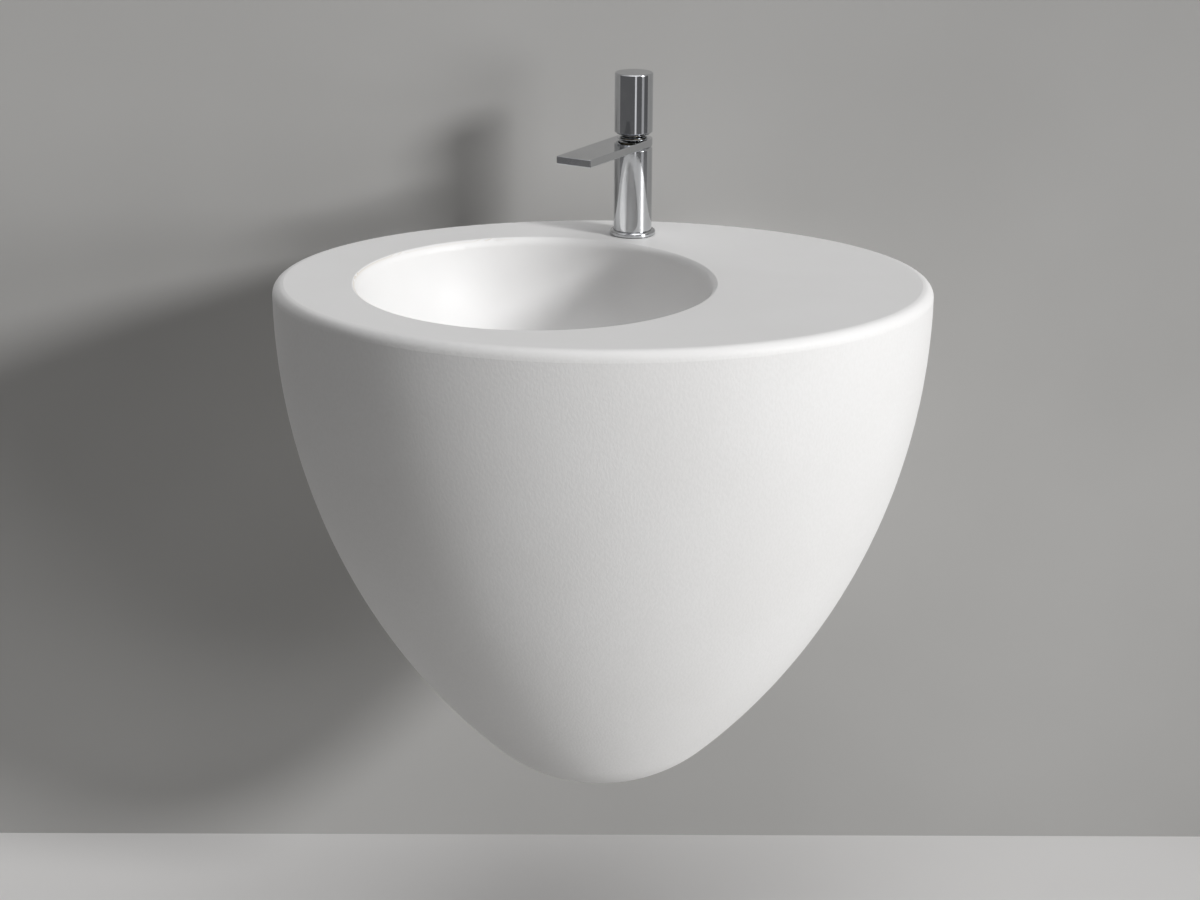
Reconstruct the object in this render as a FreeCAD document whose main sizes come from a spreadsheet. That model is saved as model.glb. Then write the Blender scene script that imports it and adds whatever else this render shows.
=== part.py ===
import FreeCAD, Part
import math
import os
import Sketcher
from FreeCAD import Placement, Rotation, Vector

# A wall hung basin: an egg-shaped ceramic vessel with a round bowl off centre, a deck tap with a
# slab spout and a joystick handle, a click waste and a bottle trap. Millimetres, +Z up.
# The origin is midway between the two wall bolts, on the wall plane; the front faces -Y.

os.makedirs("parts", exist_ok=True)
doc = FreeCAD.newDocument("wall_hung_basin")
sheet = doc.addObject("Spreadsheet::Sheet", "sizes")
pieces = []


# ---- sizes -----------------------------------------------------------------------------------

class Length:
    """A size: its number, and the formula over the sheet's cells that gives that number."""

    def __init__(self, number, formula):
        self.number = float(number)
        self.formula = formula

    def __add__(self, other):
        other = as_length(other)
        return Length(self.number + other.number, f"({self.formula} + {other.formula})")

    def __radd__(self, other):
        return as_length(other) + self

    def __sub__(self, other):
        other = as_length(other)
        return Length(self.number - other.number, f"({self.formula} - {other.formula})")

    def __rsub__(self, other):
        return as_length(other) - self

    def __mul__(self, other):
        other = as_length(other)
        return Length(self.number * other.number, f"({self.formula} * {other.formula})")

    def __rmul__(self, other):
        return as_length(other) * self

    def __truediv__(self, other):
        other = as_length(other)
        return Length(self.number / other.number, f"({self.formula} / {other.formula})")

    def __neg__(self):
        return Length(-self.number, f"(0 - {self.formula})")


def as_length(thing):
    if isinstance(thing, Length):
        return thing
    return Length(thing, f"({float(thing)})")


def tangent(angle):
    return Length(math.tan(math.radians(angle.number)), f"tan({angle.formula} * 1 deg)")


def sine(angle):
    return Length(math.sin(math.radians(angle.number)), f"sin({angle.formula} * 1 deg)")


def cosine(angle):
    return Length(math.cos(math.radians(angle.number)), f"cos({angle.formula} * 1 deg)")


def size(name, number, meaning):
    """Write one driving dimension into the sheet and return it."""
    row = 1
    while sheet.getContents(f"A{row}"):
        row += 1
    sheet.set(f"A{row}", meaning)
    sheet.set(f"B{row}", str(number))
    sheet.setAlias(f"B{row}", name)
    return Length(number, f"sizes.{name}")


# Ceramic vessel
basin_width = size("basin_width", 650, "width of the oval rim")
basin_depth = size("basin_depth", 510, "front to back size of the oval rim")
basin_height = size("basin_height", 535, "rim to the lowest point")
tip_radius = size("tip_radius", 168, "radius of the rounded tip, seen from the front")
rim_round = size("rim_round", 11, "rounding of the rim's outer edge")
shell_wall = size("shell_wall", 12, "wall of the vessel")
deck_thickness = size("deck_thickness", 14, "thickness of the deck")
hollow_round = size("hollow_round", 9, "rounding under the deck, inside the vessel")
wall_gap = size("wall_gap", 50, "room between the rim's back and the wall")
mount_drop = size("mount_drop", 95, "wall bolts below the rim")

# Bowl
bowl_diameter = size("bowl_diameter", 348, "inside of the bowl at its top")
bowl_to_tap = size("bowl_to_tap", 45.6, "bowl's edge to the tap's axis")
tap_bearing = size("tap_bearing", 26.8, "tap seen from the bowl's centre, degrees right of straight back")
bowl_lip = size("bowl_lip", 9, "rounding of the bowl's edge")
bowl_side_radius = size("bowl_side_radius", 135, "radius of the bowl's side in section")
bowl_fall = size("bowl_fall", 5, "slope of the bowl's floor towards the drain, degrees")
bowl_wall = size("bowl_wall", 12, "wall of the bowl")
drain_recess_diameter = size("drain_recess_diameter", 68, "recess for the waste flange")
drain_recess_depth = size("drain_recess_depth", 4, "depth of that recess")
drain_hole_diameter = size("drain_hole_diameter", 46, "drain hole")
drain_floor = size("drain_floor", 14, "ceramic under the waste flange")
drain_boss_diameter = size("drain_boss_diameter", 92, "flat boss under the bowl for the backnut")

# Neck behind the vessel, which meets the wall
neck_width = size("neck_width", 340, "width of the neck")
neck_top_drop = size("neck_top_drop", 32, "top of the neck below the rim")
neck_foot_drop = size("neck_foot_drop", 300, "foot of the neck below the rim")
neck_wall = size("neck_wall", 14, "wall of the neck")
neck_corner = size("neck_corner", 50, "rounding of the neck's upper corners")
lug_thickness = size("lug_thickness", 16, "thickness of the two wall lugs")
access_width = size("access_width", 200, "opening between the lugs")
access_top_drop = size("access_top_drop", 115, "top of that opening below the rim")
access_corner = size("access_corner", 40, "rounding of that opening's upper corners")

# Wall fixings
bolt_inset = size("bolt_inset", 30, "wall bolts inside the neck's sides")
bolt_diameter = size("bolt_diameter", 10, "wall bolts")
bolt_into_wall = size("bolt_into_wall", 65, "length of a wall bolt behind the wall plane")
anchor_diameter = size("anchor_diameter", 9.2, "thinner thread of a wall bolt, behind the wall plane")
anchor_start = size("anchor_start", 0.5, "start of that thread behind the wall plane")
bolt_end = size("bolt_end", 7, "bolt that stands out past its nut")
lug_hole_diameter = size("lug_hole_diameter", 16, "holes in the lugs")
sleeve_flange_diameter = size("sleeve_flange_diameter", 26, "flange of the nylon sleeves")
sleeve_flange_thickness = size("sleeve_flange_thickness", 3, "thickness of that flange")
washer_diameter = size("washer_diameter", 22, "wall washers")
washer_thickness = size("washer_thickness", 2, "thickness of the wall washers")
wall_nut_flats = size("wall_nut_flats", 17, "wall nuts across their flats")
wall_nut_height = size("wall_nut_height", 8, "height of the wall nuts")

# Tap
tap_right = size("tap_right", 32, "tap axis to the right of the middle")
tap_margin = size("tap_margin", 66, "tap axis in front of the rim's back")
tap_hole_diameter = size("tap_hole_diameter", 35, "tap hole in the deck")
tap_diameter = size("tap_diameter", 40, "tap body, spout root and handle")
spout_turn = size("spout_turn", 31, "spout turned towards the bowl, degrees")
gasket_thickness = size("gasket_thickness", 0.8, "gasket under the tap's foot ring")
foot_diameter = size("foot_diameter", 48, "foot ring of the tap")
foot_height = size("foot_height", 4.5, "height of the foot ring")
foot_step = size("foot_step", 2, "depth that the body sits in the foot ring")
foot_round = size("foot_round", 2.5, "rounding of the foot ring")
foot_bore = size("foot_bore", 32, "bore of the foot ring")
spout_under = size("spout_under", 94.5, "underside of the spout above the deck")
spout_thickness = size("spout_thickness", 8, "thickness of the spout slab")
spout_reach = size("spout_reach", 120.5, "tap axis to the spout's end")
spout_edge = size("spout_edge", 0.5, "chamfer along the spout's edges")
body_bevel = size("body_bevel", 3, "bevel round the top of the tap body")
channel_width = size("channel_width", 26, "waterway inside the spout")
channel_height = size("channel_height", 3, "height of the waterway")
channel_floor = size("channel_floor", 1.2, "metal under the waterway")
aerator_reach = size("aerator_reach", 104, "tap axis to the aerator")
aerator_diameter = size("aerator_diameter", 22, "aerator pocket")
aerator_wall = size("aerator_wall", 1.4, "wall of the aerator's ring")
aerator_depth = size("aerator_depth", 5, "depth of the aerator pocket")
aerator_proud = size("aerator_proud", 0.6, "aerator below the spout's underside")
slot_count = 12
slot_width = size("slot_width", 1.2, "slots of the aerator")
slot_inner = size("slot_inner", 3.6, "start of a slot from the aerator's axis")

# Cartridge
chamber_diameter = size("chamber_diameter", 30, "chamber for the cartridge")
chamber_floor = size("chamber_floor", 60, "floor of the chamber above the deck")
cartridge_diameter = size("cartridge_diameter", 28, "cartridge")
cartridge_base_height = size("cartridge_base_height", 4, "height of the cartridge's base")
cartridge_wall = size("cartridge_wall", 2, "wall of the cartridge housing")
flange_thickness = size("flange_thickness", 1, "flange round the housing's top")
roof_thickness = size("roof_thickness", 2.5, "roof of the housing")
disc_thickness = size("disc_thickness", 4, "fixed ceramic disc")
moving_disc_diameter = size("moving_disc_diameter", 18, "moving ceramic disc")
moving_disc_thickness = size("moving_disc_thickness", 3.5, "thickness of the moving disc")
mixing_diameter = size("mixing_diameter", 9, "mixing recess in the moving disc")
mixing_depth = size("mixing_depth", 1.8, "depth of that recess")
port_side = size("port_side", 6, "hot and cold ways left and right of the axis")
port_front = size("port_front", 3.5, "hot and cold ways in front of the axis")
disc_port_diameter = size("disc_port_diameter", 4, "ways through the fixed disc")
body_port_diameter = size("body_port_diameter", 5.6, "ways through the tap body")
outlet_back = size("outlet_back", 5.5, "mixed water's way behind the axis")
carrier_diameter = size("carrier_diameter", 19.4, "disc carrier")
carrier_height = size("carrier_height", 6, "height of the disc carrier")
carrier_socket_depth = size("carrier_socket_depth", 4, "socket for the lever's foot")
carrier_key_length = size("carrier_key_length", 12.6, "key of the carrier in the rotor's slot")
carrier_key_height = size("carrier_key_height", 1.95, "height of that key")
inlet_seal_radius = size("inlet_seal_radius", 3.35, "middle radius of the seals under the cartridge")
inlet_seal_wire = size("inlet_seal_wire", 1, "thickness of those seals")
rotor_foot = size("rotor_foot", 78, "foot of the rotor above the deck")
rotor_slot_width = size("rotor_slot_width", 8.4, "slot in the rotor for the lever")
rotor_slot_length = size("rotor_slot_length", 17, "length of that slot")
pivot_height = size("pivot_height", 88, "lever's pivot above the deck")
pin_diameter = size("pin_diameter", 3, "pivot pin")
pin_length = size("pin_length", 21, "length of the pivot pin")
lever_diameter = size("lever_diameter", 8, "lever")
lever_foot = size("lever_foot", 80.5, "foot of the lever's thick part above the deck")
lever_ball_diameter = size("lever_ball_diameter", 6, "ball at the lever's foot")
ball_arm = size("ball_arm", 11.3, "ball's centre below the pivot")
lever_top = size("lever_top", 140, "top of the lever above the deck")
dome_radius = size("dome_radius", 22.6, "inside of the dome over the cartridge nut, about the pivot")
dome_wall = size("dome_wall", 0.8, "wall of that dome")
dome_edge = size("dome_edge", 51, "edge of that dome above the pivot's level, degrees")
collar_diameter = size("collar_diameter", 34, "collar of the cartridge nut at its foot")
collar_top_diameter = size("collar_top_diameter", 28, "that collar at its top")
collar_height = size("collar_height", 2, "height of that collar")
throat_diameter = size("throat_diameter", 17, "hole round the lever in housing and nut")
nut_thread = size("nut_thread", 2.7, "cartridge nut inside the spout's bore")
outlet_diameter = size("outlet_diameter", 5, "mixed water's way")
disc_film = size("disc_film", 0.05, "film between the two ceramic discs")
pin_fit = size("pin_fit", 0.02, "clearance of the pin in the rotor")

# Handle
handle_gap = size("handle_gap", 5, "spout to the handle")
tap_height = size("tap_height", 171, "top of the handle above the deck")
handle_bore = size("handle_bore", 32.4, "bore of the handle")
handle_roof = size("handle_roof", 4, "roof of the handle")
handle_bevel = size("handle_bevel", 2, "bevel at the handle's foot")
handle_edge = size("handle_edge", 1.5, "rounding of the handle's top edge")
adapter_foot = size("adapter_foot", 118, "foot of the adapter above the deck")
adapter_height = size("adapter_height", 26, "height of the adapter")
screw_height = size("screw_height", 130, "grub screw above the deck")
screw_diameter = size("screw_diameter", 5, "grub screw")
screw_recess = size("screw_recess", 0.6, "grub screw below the handle's surface")

# Fixing of the tap under the deck
stud_back = size("stud_back", 9, "stud behind the tap axis")
stud_diameter = size("stud_diameter", 8, "stud")
stud_depth = size("stud_depth", 14, "stud inside the tap body")
stud_length = size("stud_length", 62, "stud below the deck's surface")
inlet_diameter = size("inlet_diameter", 8.9, "threaded inlets")
inlet_depth = size("inlet_depth", 14, "depth of the threaded inlets")
horseshoe_diameter = size("horseshoe_diameter", 54, "horseshoe washers")
horseshoe_slot = size("horseshoe_slot", 22, "slot for the inlets")
horseshoe_rubber_thickness = size("horseshoe_rubber_thickness", 3, "rubber horseshoe")
horseshoe_plate_thickness = size("horseshoe_plate_thickness", 2.5, "metal horseshoe")
stud_nut_flats = size("stud_nut_flats", 13, "long nut across its flats")
stud_nut_height = size("stud_nut_height", 16, "height of the long nut")

# Waste
waste_seal_thickness = size("waste_seal_thickness", 1.5, "seal under the waste flange")
waste_flange_diameter = size("waste_flange_diameter", 64, "waste flange")
waste_flange_thickness = size("waste_flange_thickness", 3, "thickness of the flange")
waste_dish_diameter = size("waste_dish_diameter", 54, "dish in the flange")
waste_dish_depth = size("waste_dish_depth", 2, "depth of the dish")
waste_tube_diameter = size("waste_tube_diameter", 41.8, "waste tube")
waste_bore = size("waste_bore", 38, "bore of the waste tube")
waste_length = size("waste_length", 50, "waste tube below its seat")
hub_diameter = size("hub_diameter", 21, "hub across the waste tube")
hub_drop = size("hub_drop", 16, "top of the hub below the seat")
hub_height = size("hub_height", 4, "height of the hub")
web_width = size("web_width", 3, "webs that carry the hub")
waste_cone_thickness = size("waste_cone_thickness", 4, "rubber ring under the bowl")
waste_cone_diameter = size("waste_cone_diameter", 64, "that rubber ring")
backnut_flats = size("backnut_flats", 58, "backnut across its flats")
backnut_height = size("backnut_height", 9, "height of the backnut")
click_diameter = size("click_diameter", 16, "click cartridge")
click_bore = size("click_bore", 12.5, "bore of the click cartridge")
click_top_drop = size("click_top_drop", 5, "top of the click cartridge below the seat")
click_length = size("click_length", 37, "length of the click cartridge")
click_end = size("click_end", 2, "ends of the click cartridge")
click_flange_diameter = size("click_flange_diameter", 19, "flange that rests on the hub")
plug_travel = size("plug_travel", 8, "travel of the plug")
plug_stem_diameter = size("plug_stem_diameter", 8, "plug stem")
piston_height = size("piston_height", 4, "piston on the stem")
plug_diameter = size("plug_diameter", 62, "plug cap")
plug_rim = size("plug_rim", 2, "edge of the plug cap")
plug_crown = size("plug_crown", 3.5, "rise of the cap's crown above its edge")
plug_boss_diameter = size("plug_boss_diameter", 14, "boss under the cap")
plug_boss_height = size("plug_boss_height", 3, "height of that boss")
plug_seal_diameter = size("plug_seal_diameter", 52, "seal under the cap")
plug_seal_bore = size("plug_seal_bore", 43, "bore of that seal")
plug_seal_thickness = size("plug_seal_thickness", 2, "thickness of that seal")
spring_wire = size("spring_wire", 1, "wire of the plug spring")
spring_diameter = size("spring_diameter", 10, "middle diameter of the plug spring")
spring_turns = 6

# Bottle trap
pipe_diameter = size("pipe_diameter", 32, "trap tail and outlet pipe")
pipe_wall = size("pipe_wall", 1.5, "wall of both")
tail_flange_diameter = size("tail_flange_diameter", 41, "flange of the trap tail")
tail_flange_thickness = size("tail_flange_thickness", 2.5, "thickness of that flange")
trap_seal_thickness = size("trap_seal_thickness", 2.5, "sealing rings of the trap")
hand_nut_flats = size("hand_nut_flats", 52, "hand nuts across their flats")
hand_nut_lip = size("hand_nut_lip", 3, "lip of a hand nut")
hand_nut_cover = size("hand_nut_cover", 12, "thread covered by a hand nut")
inlet_nut_cover = size("inlet_nut_cover", 15, "thread of the waste covered by its nut")
neck_drop = size("neck_drop", 84, "trap's neck below the waste's seat")
neck_diameter = size("neck_diameter", 41, "threaded necks of the trap")
neck_height = size("neck_height", 16, "height of the trap's neck")
trap_diameter = size("trap_diameter", 66, "bottle of the trap")
trap_wall = size("trap_wall", 2.4, "wall of the bottle")
bottle_round = size("bottle_round", 6, "rounding of the bottle's shoulder")
trap_height = size("trap_height", 60, "height of the bottle under its neck")
tail_dip = size("tail_dip", 12, "trap tail below the bottle, inside the cup")
cup_diameter = size("cup_diameter", 72, "removable cup")
cup_cover = size("cup_cover", 14, "bottle covered by the cup")
cup_depth = size("cup_depth", 50, "height of the cup")
cup_wall = size("cup_wall", 2.6, "wall of the cup")
cup_round = size("cup_round", 14, "rounding of the cup's foot")
outlet_drop = size("outlet_drop", 122, "trap's outlet below the waste's seat")
stub_length = size("stub_length", 54, "outlet stub from the bottle's axis")
pipe_into_wall = size("pipe_into_wall", 40, "outlet pipe behind the wall plane")
bead_before_wall = size("bead_before_wall", 5, "stop bead on the outlet pipe, in front of the wall plane")
bead_width = size("bead_width", 4, "width of that bead")
bead_height = size("bead_height", 1.5, "height of that bead")

# Clearances
running = size("running", 0.05, "radial clearance of a running or plugged fit")
easy = size("easy", 0.3, "clearance of pieces that pass each other freely")

# Places that follow from the sizes
rim_height = mount_drop
bolt_spacing = neck_width - 2 * bolt_inset
axis_y = -(wall_gap + basin_depth / 2)
tap_y = -(wall_gap + tap_margin)
bowl_reach = bowl_diameter / 2 + bowl_to_tap
bowl_left = bowl_reach * sine(tap_bearing) - tap_right
bowl_forward = bowl_reach * cosine(tap_bearing) - (basin_depth / 2 - tap_margin)
bowl_y = axis_y - bowl_forward


# ---- tools of the workshop -------------------------------------------------------------------

def bind(made, prop, amount):
    made.setExpression(prop, as_length(amount).formula)


def lower(made, spot, turn=Rotation()):
    """Put an object at a spot whose three coordinates follow the sheet."""
    made.Placement = Placement(Vector(*[as_length(part).number for part in spot]), turn)
    for letter, part in zip("xyz", spot):
        bind(made, f"Placement.Base.{letter}", part)


def sketch_on(body, role, name):
    plane = [feature for feature in body.Origin.OriginFeatures if feature.Role == role][0]
    sketch = body.newObject("Sketcher::SketchObject", name)
    sketch.AttachmentSupport = [(plane, "")]
    sketch.MapMode = "FlatFace"
    return sketch


def pin_point(sketch, geometry, end, across, up):
    """Hold one point of a sketch at coordinates that follow the sheet."""
    for kind, axis, amount in (("DistanceX", -2, across), ("DistanceY", -1, up)):
        if isinstance(amount, Length):
            number = sketch.addConstraint(Sketcher.Constraint(kind, -1, 1, geometry, end, amount.number))
            sketch.setExpression(f"Constraints[{number}]", amount.formula)
        elif amount == 0:
            sketch.addConstraint(Sketcher.Constraint("PointOnObject", geometry, end, axis))
        else:
            sketch.addConstraint(Sketcher.Constraint(kind, -1, 1, geometry, end, float(amount)))


def hold_radius(sketch, geometry, radius):
    number = sketch.addConstraint(Sketcher.Constraint("Radius", geometry, as_length(radius).number))
    sketch.setExpression(f"Constraints[{number}]", as_length(radius).formula)


def arc(centre, radius, start, end):
    """An arc that runs anticlockwise between two angles in radians."""
    while end < start:
        end += 2 * math.pi
    return Part.ArcOfCircle(Part.Circle(centre, Vector(0, 0, 1), radius), start, end)


def angle_of(point, centre):
    return math.atan2(point.y - centre.y, point.x - centre.x)


def draw_outline(sketch, corners):
    """Draw a closed outline of straight lines. A corner is (across, up) or (across, up, radius)."""
    count = len(corners)
    spots = [Vector(as_length(c[0]).number, as_length(c[1]).number, 0) for c in corners]
    ways = [(spots[(i + 1) % count] - spots[i]).normalize() for i in range(count)]
    radii = [as_length(c[2]) if len(c) > 2 else None for c in corners]
    backs = []
    for i in range(count):
        turn = ways[i - 1].getAngle(ways[i])
        backs.append(radii[i].number * math.tan(turn / 2) if radii[i] else 0.0)
    for i in range(count):
        follow = (i + 1) % count
        start = spots[i] + ways[i] * backs[i]
        sketch.addGeometry(Part.LineSegment(start, spots[follow] - ways[i] * backs[follow]), False)
    for i in range(count):
        before = (i - 1) % count
        if radii[i] is None:
            sketch.addConstraint(Sketcher.Constraint("Coincident", before, 2, i, 1))
            pin_point(sketch, i, 1, corners[i][0], corners[i][1])
            continue
        left = ways[before].cross(ways[i]).z > 0
        inward = Vector(-ways[before].y, ways[before].x, 0) * (1 if left else -1)
        reach = spots[i] - ways[before] * backs[i]
        leave = spots[i] + ways[i] * backs[i]
        centre = reach + inward * radii[i].number
        first, last = (reach, leave) if left else (leave, reach)
        bend = sketch.addGeometry(
            arc(centre, radii[i].number, angle_of(first, centre), angle_of(last, centre)), False)
        corner = sketch.addGeometry(Part.Point(spots[i]), True)
        sketch.addConstraint(Sketcher.Constraint("Tangent", before, 2, bend, 1 if left else 2))
        sketch.addConstraint(Sketcher.Constraint("Tangent", i, 1, bend, 2 if left else 1))
        sketch.addConstraint(Sketcher.Constraint("PointOnObject", corner, 1, before))
        sketch.addConstraint(Sketcher.Constraint("PointOnObject", corner, 1, i))
        pin_point(sketch, corner, 1, corners[i][0], corners[i][1])
        hold_radius(sketch, bend, radii[i])


def revolve(body, sketch):
    turned_feature = body.newObject("PartDesign::Revolution", body.Name + "_turning")
    turned_feature.Profile = sketch
    turned_feature.ReferenceAxis = (sketch, ["V_Axis"])
    turned_feature.Angle = 360
    return body


def turned(name, corners):
    """A piece turned about Z from its half section: corners are (radius, height[, rounding])."""
    body = doc.addObject("PartDesign::Body", name)
    sketch = sketch_on(body, "XZ_Plane", name + "_section")
    draw_outline(sketch, corners)
    return revolve(body, sketch)


def padded(name, role, corners, thickness):
    """An outline on one of the origin planes, made thick."""
    body = doc.addObject("PartDesign::Body", name)
    sketch = sketch_on(body, role, name + "_outline")
    draw_outline(sketch, corners)
    pad = body.newObject("PartDesign::Pad", name + "_pad")
    pad.Profile = sketch
    bind(pad, "Length", thickness)
    return body


def rod(name, diameter, low, high, at=(0, 0)):
    """A plain cylinder along Z."""
    made = doc.addObject("Part::Cylinder", name)
    bind(made, "Radius", diameter / 2)
    bind(made, "Height", high - low)
    lower(made, (at[0], at[1], low))
    return made


def rod_along_y(name, diameter, start, end, at=(0, 0)):
    """A plain cylinder along +Y; at gives X and Z."""
    made = doc.addObject("Part::Cylinder", name)
    bind(made, "Radius", diameter / 2)
    bind(made, "Height", end - start)
    lower(made, (at[0], start, at[1]), Rotation(Vector(1, 0, 0), -90))
    return made


def block(name, low, high):
    made = doc.addObject("Part::Box", name)
    for side, first, last in zip(("Length", "Width", "Height"), low, high):
        bind(made, side, as_length(last) - first)
    lower(made, low)
    return made


def prism(name, sides, flats, low, high):
    """A bar with flat sides along Z, measured across its flats."""
    made = doc.addObject("Part::Prism", name)
    made.Polygon = sides
    bind(made, "Circumradius", flats / (2 * math.cos(math.pi / sides)))
    bind(made, "Height", high - low)
    lower(made, (0, 0, low))
    return made


def joined(name, *shapes):
    made = doc.addObject("Part::MultiFuse", name)
    made.Shapes = list(shapes)
    return made


def without(name, base, *tools):
    made = doc.addObject("Part::Cut", name)
    made.Base = base
    made.Tool = tools[0] if len(tools) == 1 else joined(name + "_cutters", *tools)
    return made


def grouped(name, made, spot=None):
    """Hold a shape at its own spot inside a group, so that the group can be put in its place."""
    if spot:
        lower(made, spot)
    group = doc.addObject("Part::Compound", name)
    group.Links = [made]
    return group


def keep(made, label, spot=(0, 0, 0), turn=Rotation()):
    """Name a finished piece and put it in its place."""
    made.Label = label
    lower(made, spot, turn)
    pieces.append(made)
    return made


# ---- ceramic vessel --------------------------------------------------------------------------
# Built with its origin on the rim plane at the middle of the oval.

def egg(name, half_width, half_depth, top, foot, tip, edge):
    """Turn a half section of two tangent arcs under a rounded edge, then squeeze it to the oval."""
    body = doc.addObject("PartDesign::Body", name + "_round")
    sketch = sketch_on(body, "XZ_Plane", name + "_section")
    reach = half_width.number
    edge_height = top.number - edge.number
    rise = edge_height - (foot.number + tip.number)
    side = (reach ** 2 + rise ** 2 - tip.number ** 2) / (2 * (reach - tip.number))
    edge_centre = Vector(reach - edge.number, edge_height, 0)
    side_centre = Vector(reach - side, edge_height, 0)
    tip_centre = Vector(0, foot.number + tip.number, 0)
    meet = math.atan2(tip_centre.y - side_centre.y, tip_centre.x - side_centre.x)
    middle = Vector(0, top.number, 0)
    sketch.addGeometry(Part.LineSegment(middle, Vector(edge_centre.x, top.number, 0)), False)
    sketch.addGeometry(arc(edge_centre, edge.number, 0, math.pi / 2), False)
    sketch.addGeometry(arc(side_centre, side, meet, 0), False)
    sketch.addGeometry(arc(tip_centre, tip.number, -math.pi / 2, meet), False)
    sketch.addGeometry(Part.LineSegment(Vector(0, foot.number, 0), middle), False)
    for first, last in (((0, 2), (1, 2)), ((1, 1), (2, 2)), ((2, 1), (3, 2))):
        sketch.addConstraint(Sketcher.Constraint("Tangent", *first, *last))
    sketch.addConstraint(Sketcher.Constraint("Coincident", 3, 1, 4, 1))
    sketch.addConstraint(Sketcher.Constraint("Coincident", 4, 2, 0, 1))
    sketch.addConstraint(Sketcher.Constraint("Horizontal", 0))
    sketch.addConstraint(Sketcher.Constraint("PointOnObject", 3, 3, -2))
    pin_point(sketch, 0, 1, 0, top)
    pin_point(sketch, 3, 1, 0, foot)
    hold_radius(sketch, 1, edge)
    hold_radius(sketch, 3, tip)
    wide = sketch.addConstraint(Sketcher.Constraint("DistanceX", -1, 1, 2, 2, reach))
    sketch.setExpression(f"Constraints[{wide}]", half_width.formula)
    level = sketch.addConstraint(Sketcher.Constraint("DistanceY", -1, 1, 2, 3, edge_height))
    sketch.setExpression(f"Constraints[{level}]", (top - edge).formula)
    revolve(body, sketch)
    oval = doc.addObject("Part::Scale", name)
    oval.Base = body
    oval.Uniform = False
    oval.XScale = 1
    bind(oval, "YScale", half_depth / half_width)
    oval.ZScale = 1
    return oval


bowl_radius = bowl_diameter / 2
recess_radius = drain_recess_diameter / 2
bowl_corner = -(bowl_lip + bowl_side_radius * tangent(45 - bowl_fall / 2))
seat_level = bowl_corner - (bowl_radius - recess_radius) * tangent(bowl_fall) - drain_recess_depth
above = size("above", 30, "cutters stand this far above the rim")

hull = egg("hull", basin_width / 2, basin_depth / 2, as_length(0), -basin_height, tip_radius, rim_round)
hollow = egg("hollow", basin_width / 2 - shell_wall, basin_depth / 2 - shell_wall, -deck_thickness,
             shell_wall - basin_height, tip_radius - shell_wall, hollow_round)

bowl_cutter = turned("bowl_cutter", [
    (0, above),
    (bowl_radius + 3 * bowl_lip, above),
    (bowl_radius + 3 * bowl_lip, bowl_lip / 4),
    (bowl_radius, 0, bowl_lip),
    (bowl_radius, bowl_corner, bowl_side_radius),
    (recess_radius, seat_level + drain_recess_depth),
    (recess_radius, seat_level),
    (0, seat_level)])
lower(bowl_cutter, (-bowl_left, -bowl_forward, 0))

boss_radius = drain_boss_diameter / 2
outer_radius = bowl_radius + bowl_wall
outer_corner = -(bowl_lip + (bowl_side_radius + bowl_wall) * tangent(45 - bowl_fall / 2))
bowl_outside = turned("bowl_outside", [
    (0, 0),
    (outer_radius, 0),
    (outer_radius, outer_corner, bowl_side_radius + bowl_wall),
    (boss_radius, outer_corner - (outer_radius - boss_radius) * tangent(bowl_fall)),
    (boss_radius, seat_level - drain_floor),
    (0, seat_level - drain_floor)])
lower(bowl_outside, (-bowl_left, -bowl_forward, 0))

# The neck reaches from the wall plane into the vessel. It is open at its foot, so that hands and
# pipes come in from below, and its back is two lugs with an arched opening between them.
wall_y = wall_gap + basin_depth / 2
neck_reach = basin_depth / 2


def arch(name, width, top_drop, foot_drop, corner, front, back):
    """An arched outline, seen from the front, between two depths."""
    body = padded(name, "XZ_Plane", [
        (-width / 2, -foot_drop),
        (width / 2, -foot_drop),
        (width / 2, -top_drop, corner),
        (-width / 2, -top_drop, corner)], back - front)
    lower(body, (0, back, 0))
    return body


neck = arch("neck", neck_width, neck_top_drop, neck_foot_drop, neck_corner, wall_y - neck_reach, wall_y)
neck_hollow = arch("neck_hollow", neck_width - 2 * neck_wall, neck_top_drop + neck_wall,
                   neck_foot_drop + easy, neck_corner - neck_wall,
                   wall_y - neck_reach, wall_y - lug_thickness)
access = arch("access", access_width, access_top_drop, neck_foot_drop + easy, access_corner,
              wall_y - 2 * lug_thickness, wall_y + lug_thickness)

vessel_blank = joined("vessel_blank", hull, neck)
inside = without("inside", joined("inside_blank", hollow, neck_hollow), bowl_outside)
drain_drill = rod("drain_drill", drain_hole_diameter, seat_level - 2 * drain_floor, seat_level + drain_floor,
                  (-bowl_left, -bowl_forward))
tap_drill = rod("tap_drill", tap_hole_diameter, -2 * deck_thickness, above,
                (tap_right, basin_depth / 2 - tap_margin))
lug_drills = [
    rod_along_y(f"lug_drill_{number}", lug_hole_diameter, wall_y - 2 * lug_thickness, wall_y + lug_thickness,
                (side * bolt_spacing / 2, -mount_drop))
    for number, side in enumerate((-1, 1))]
basin_body = without("vessel", without("vessel_shell", vessel_blank, inside), bowl_cutter, access,
                     drain_drill, tap_drill, *lug_drills)
keep(basin_body, "basin_body", (0, axis_y, rim_height))


# ---- wall fixings ----------------------------------------------------------------------------
# One of each at either side; every pair is one node of two separate solids.

def pair(name, make):
    """Two copies of a turned or drawn piece, one on each wall bolt's axis, laid along -Y."""
    both = []
    for number, side in enumerate((-1, 1)):
        made = make(f"{name}_{number}")
        lower(made, (side * bolt_spacing / 2, 0, 0), Rotation(Vector(1, 0, 0), 90))
        both.append(made)
    group = doc.addObject("Part::Compound", name)
    group.Links = both
    return keep(group, name)


sleeve_head = lug_thickness + sleeve_flange_thickness
washer_head = sleeve_head + washer_thickness
nut_head = washer_head + wall_nut_height
bolt_radius = bolt_diameter / 2
anchor_radius = anchor_diameter / 2

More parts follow.
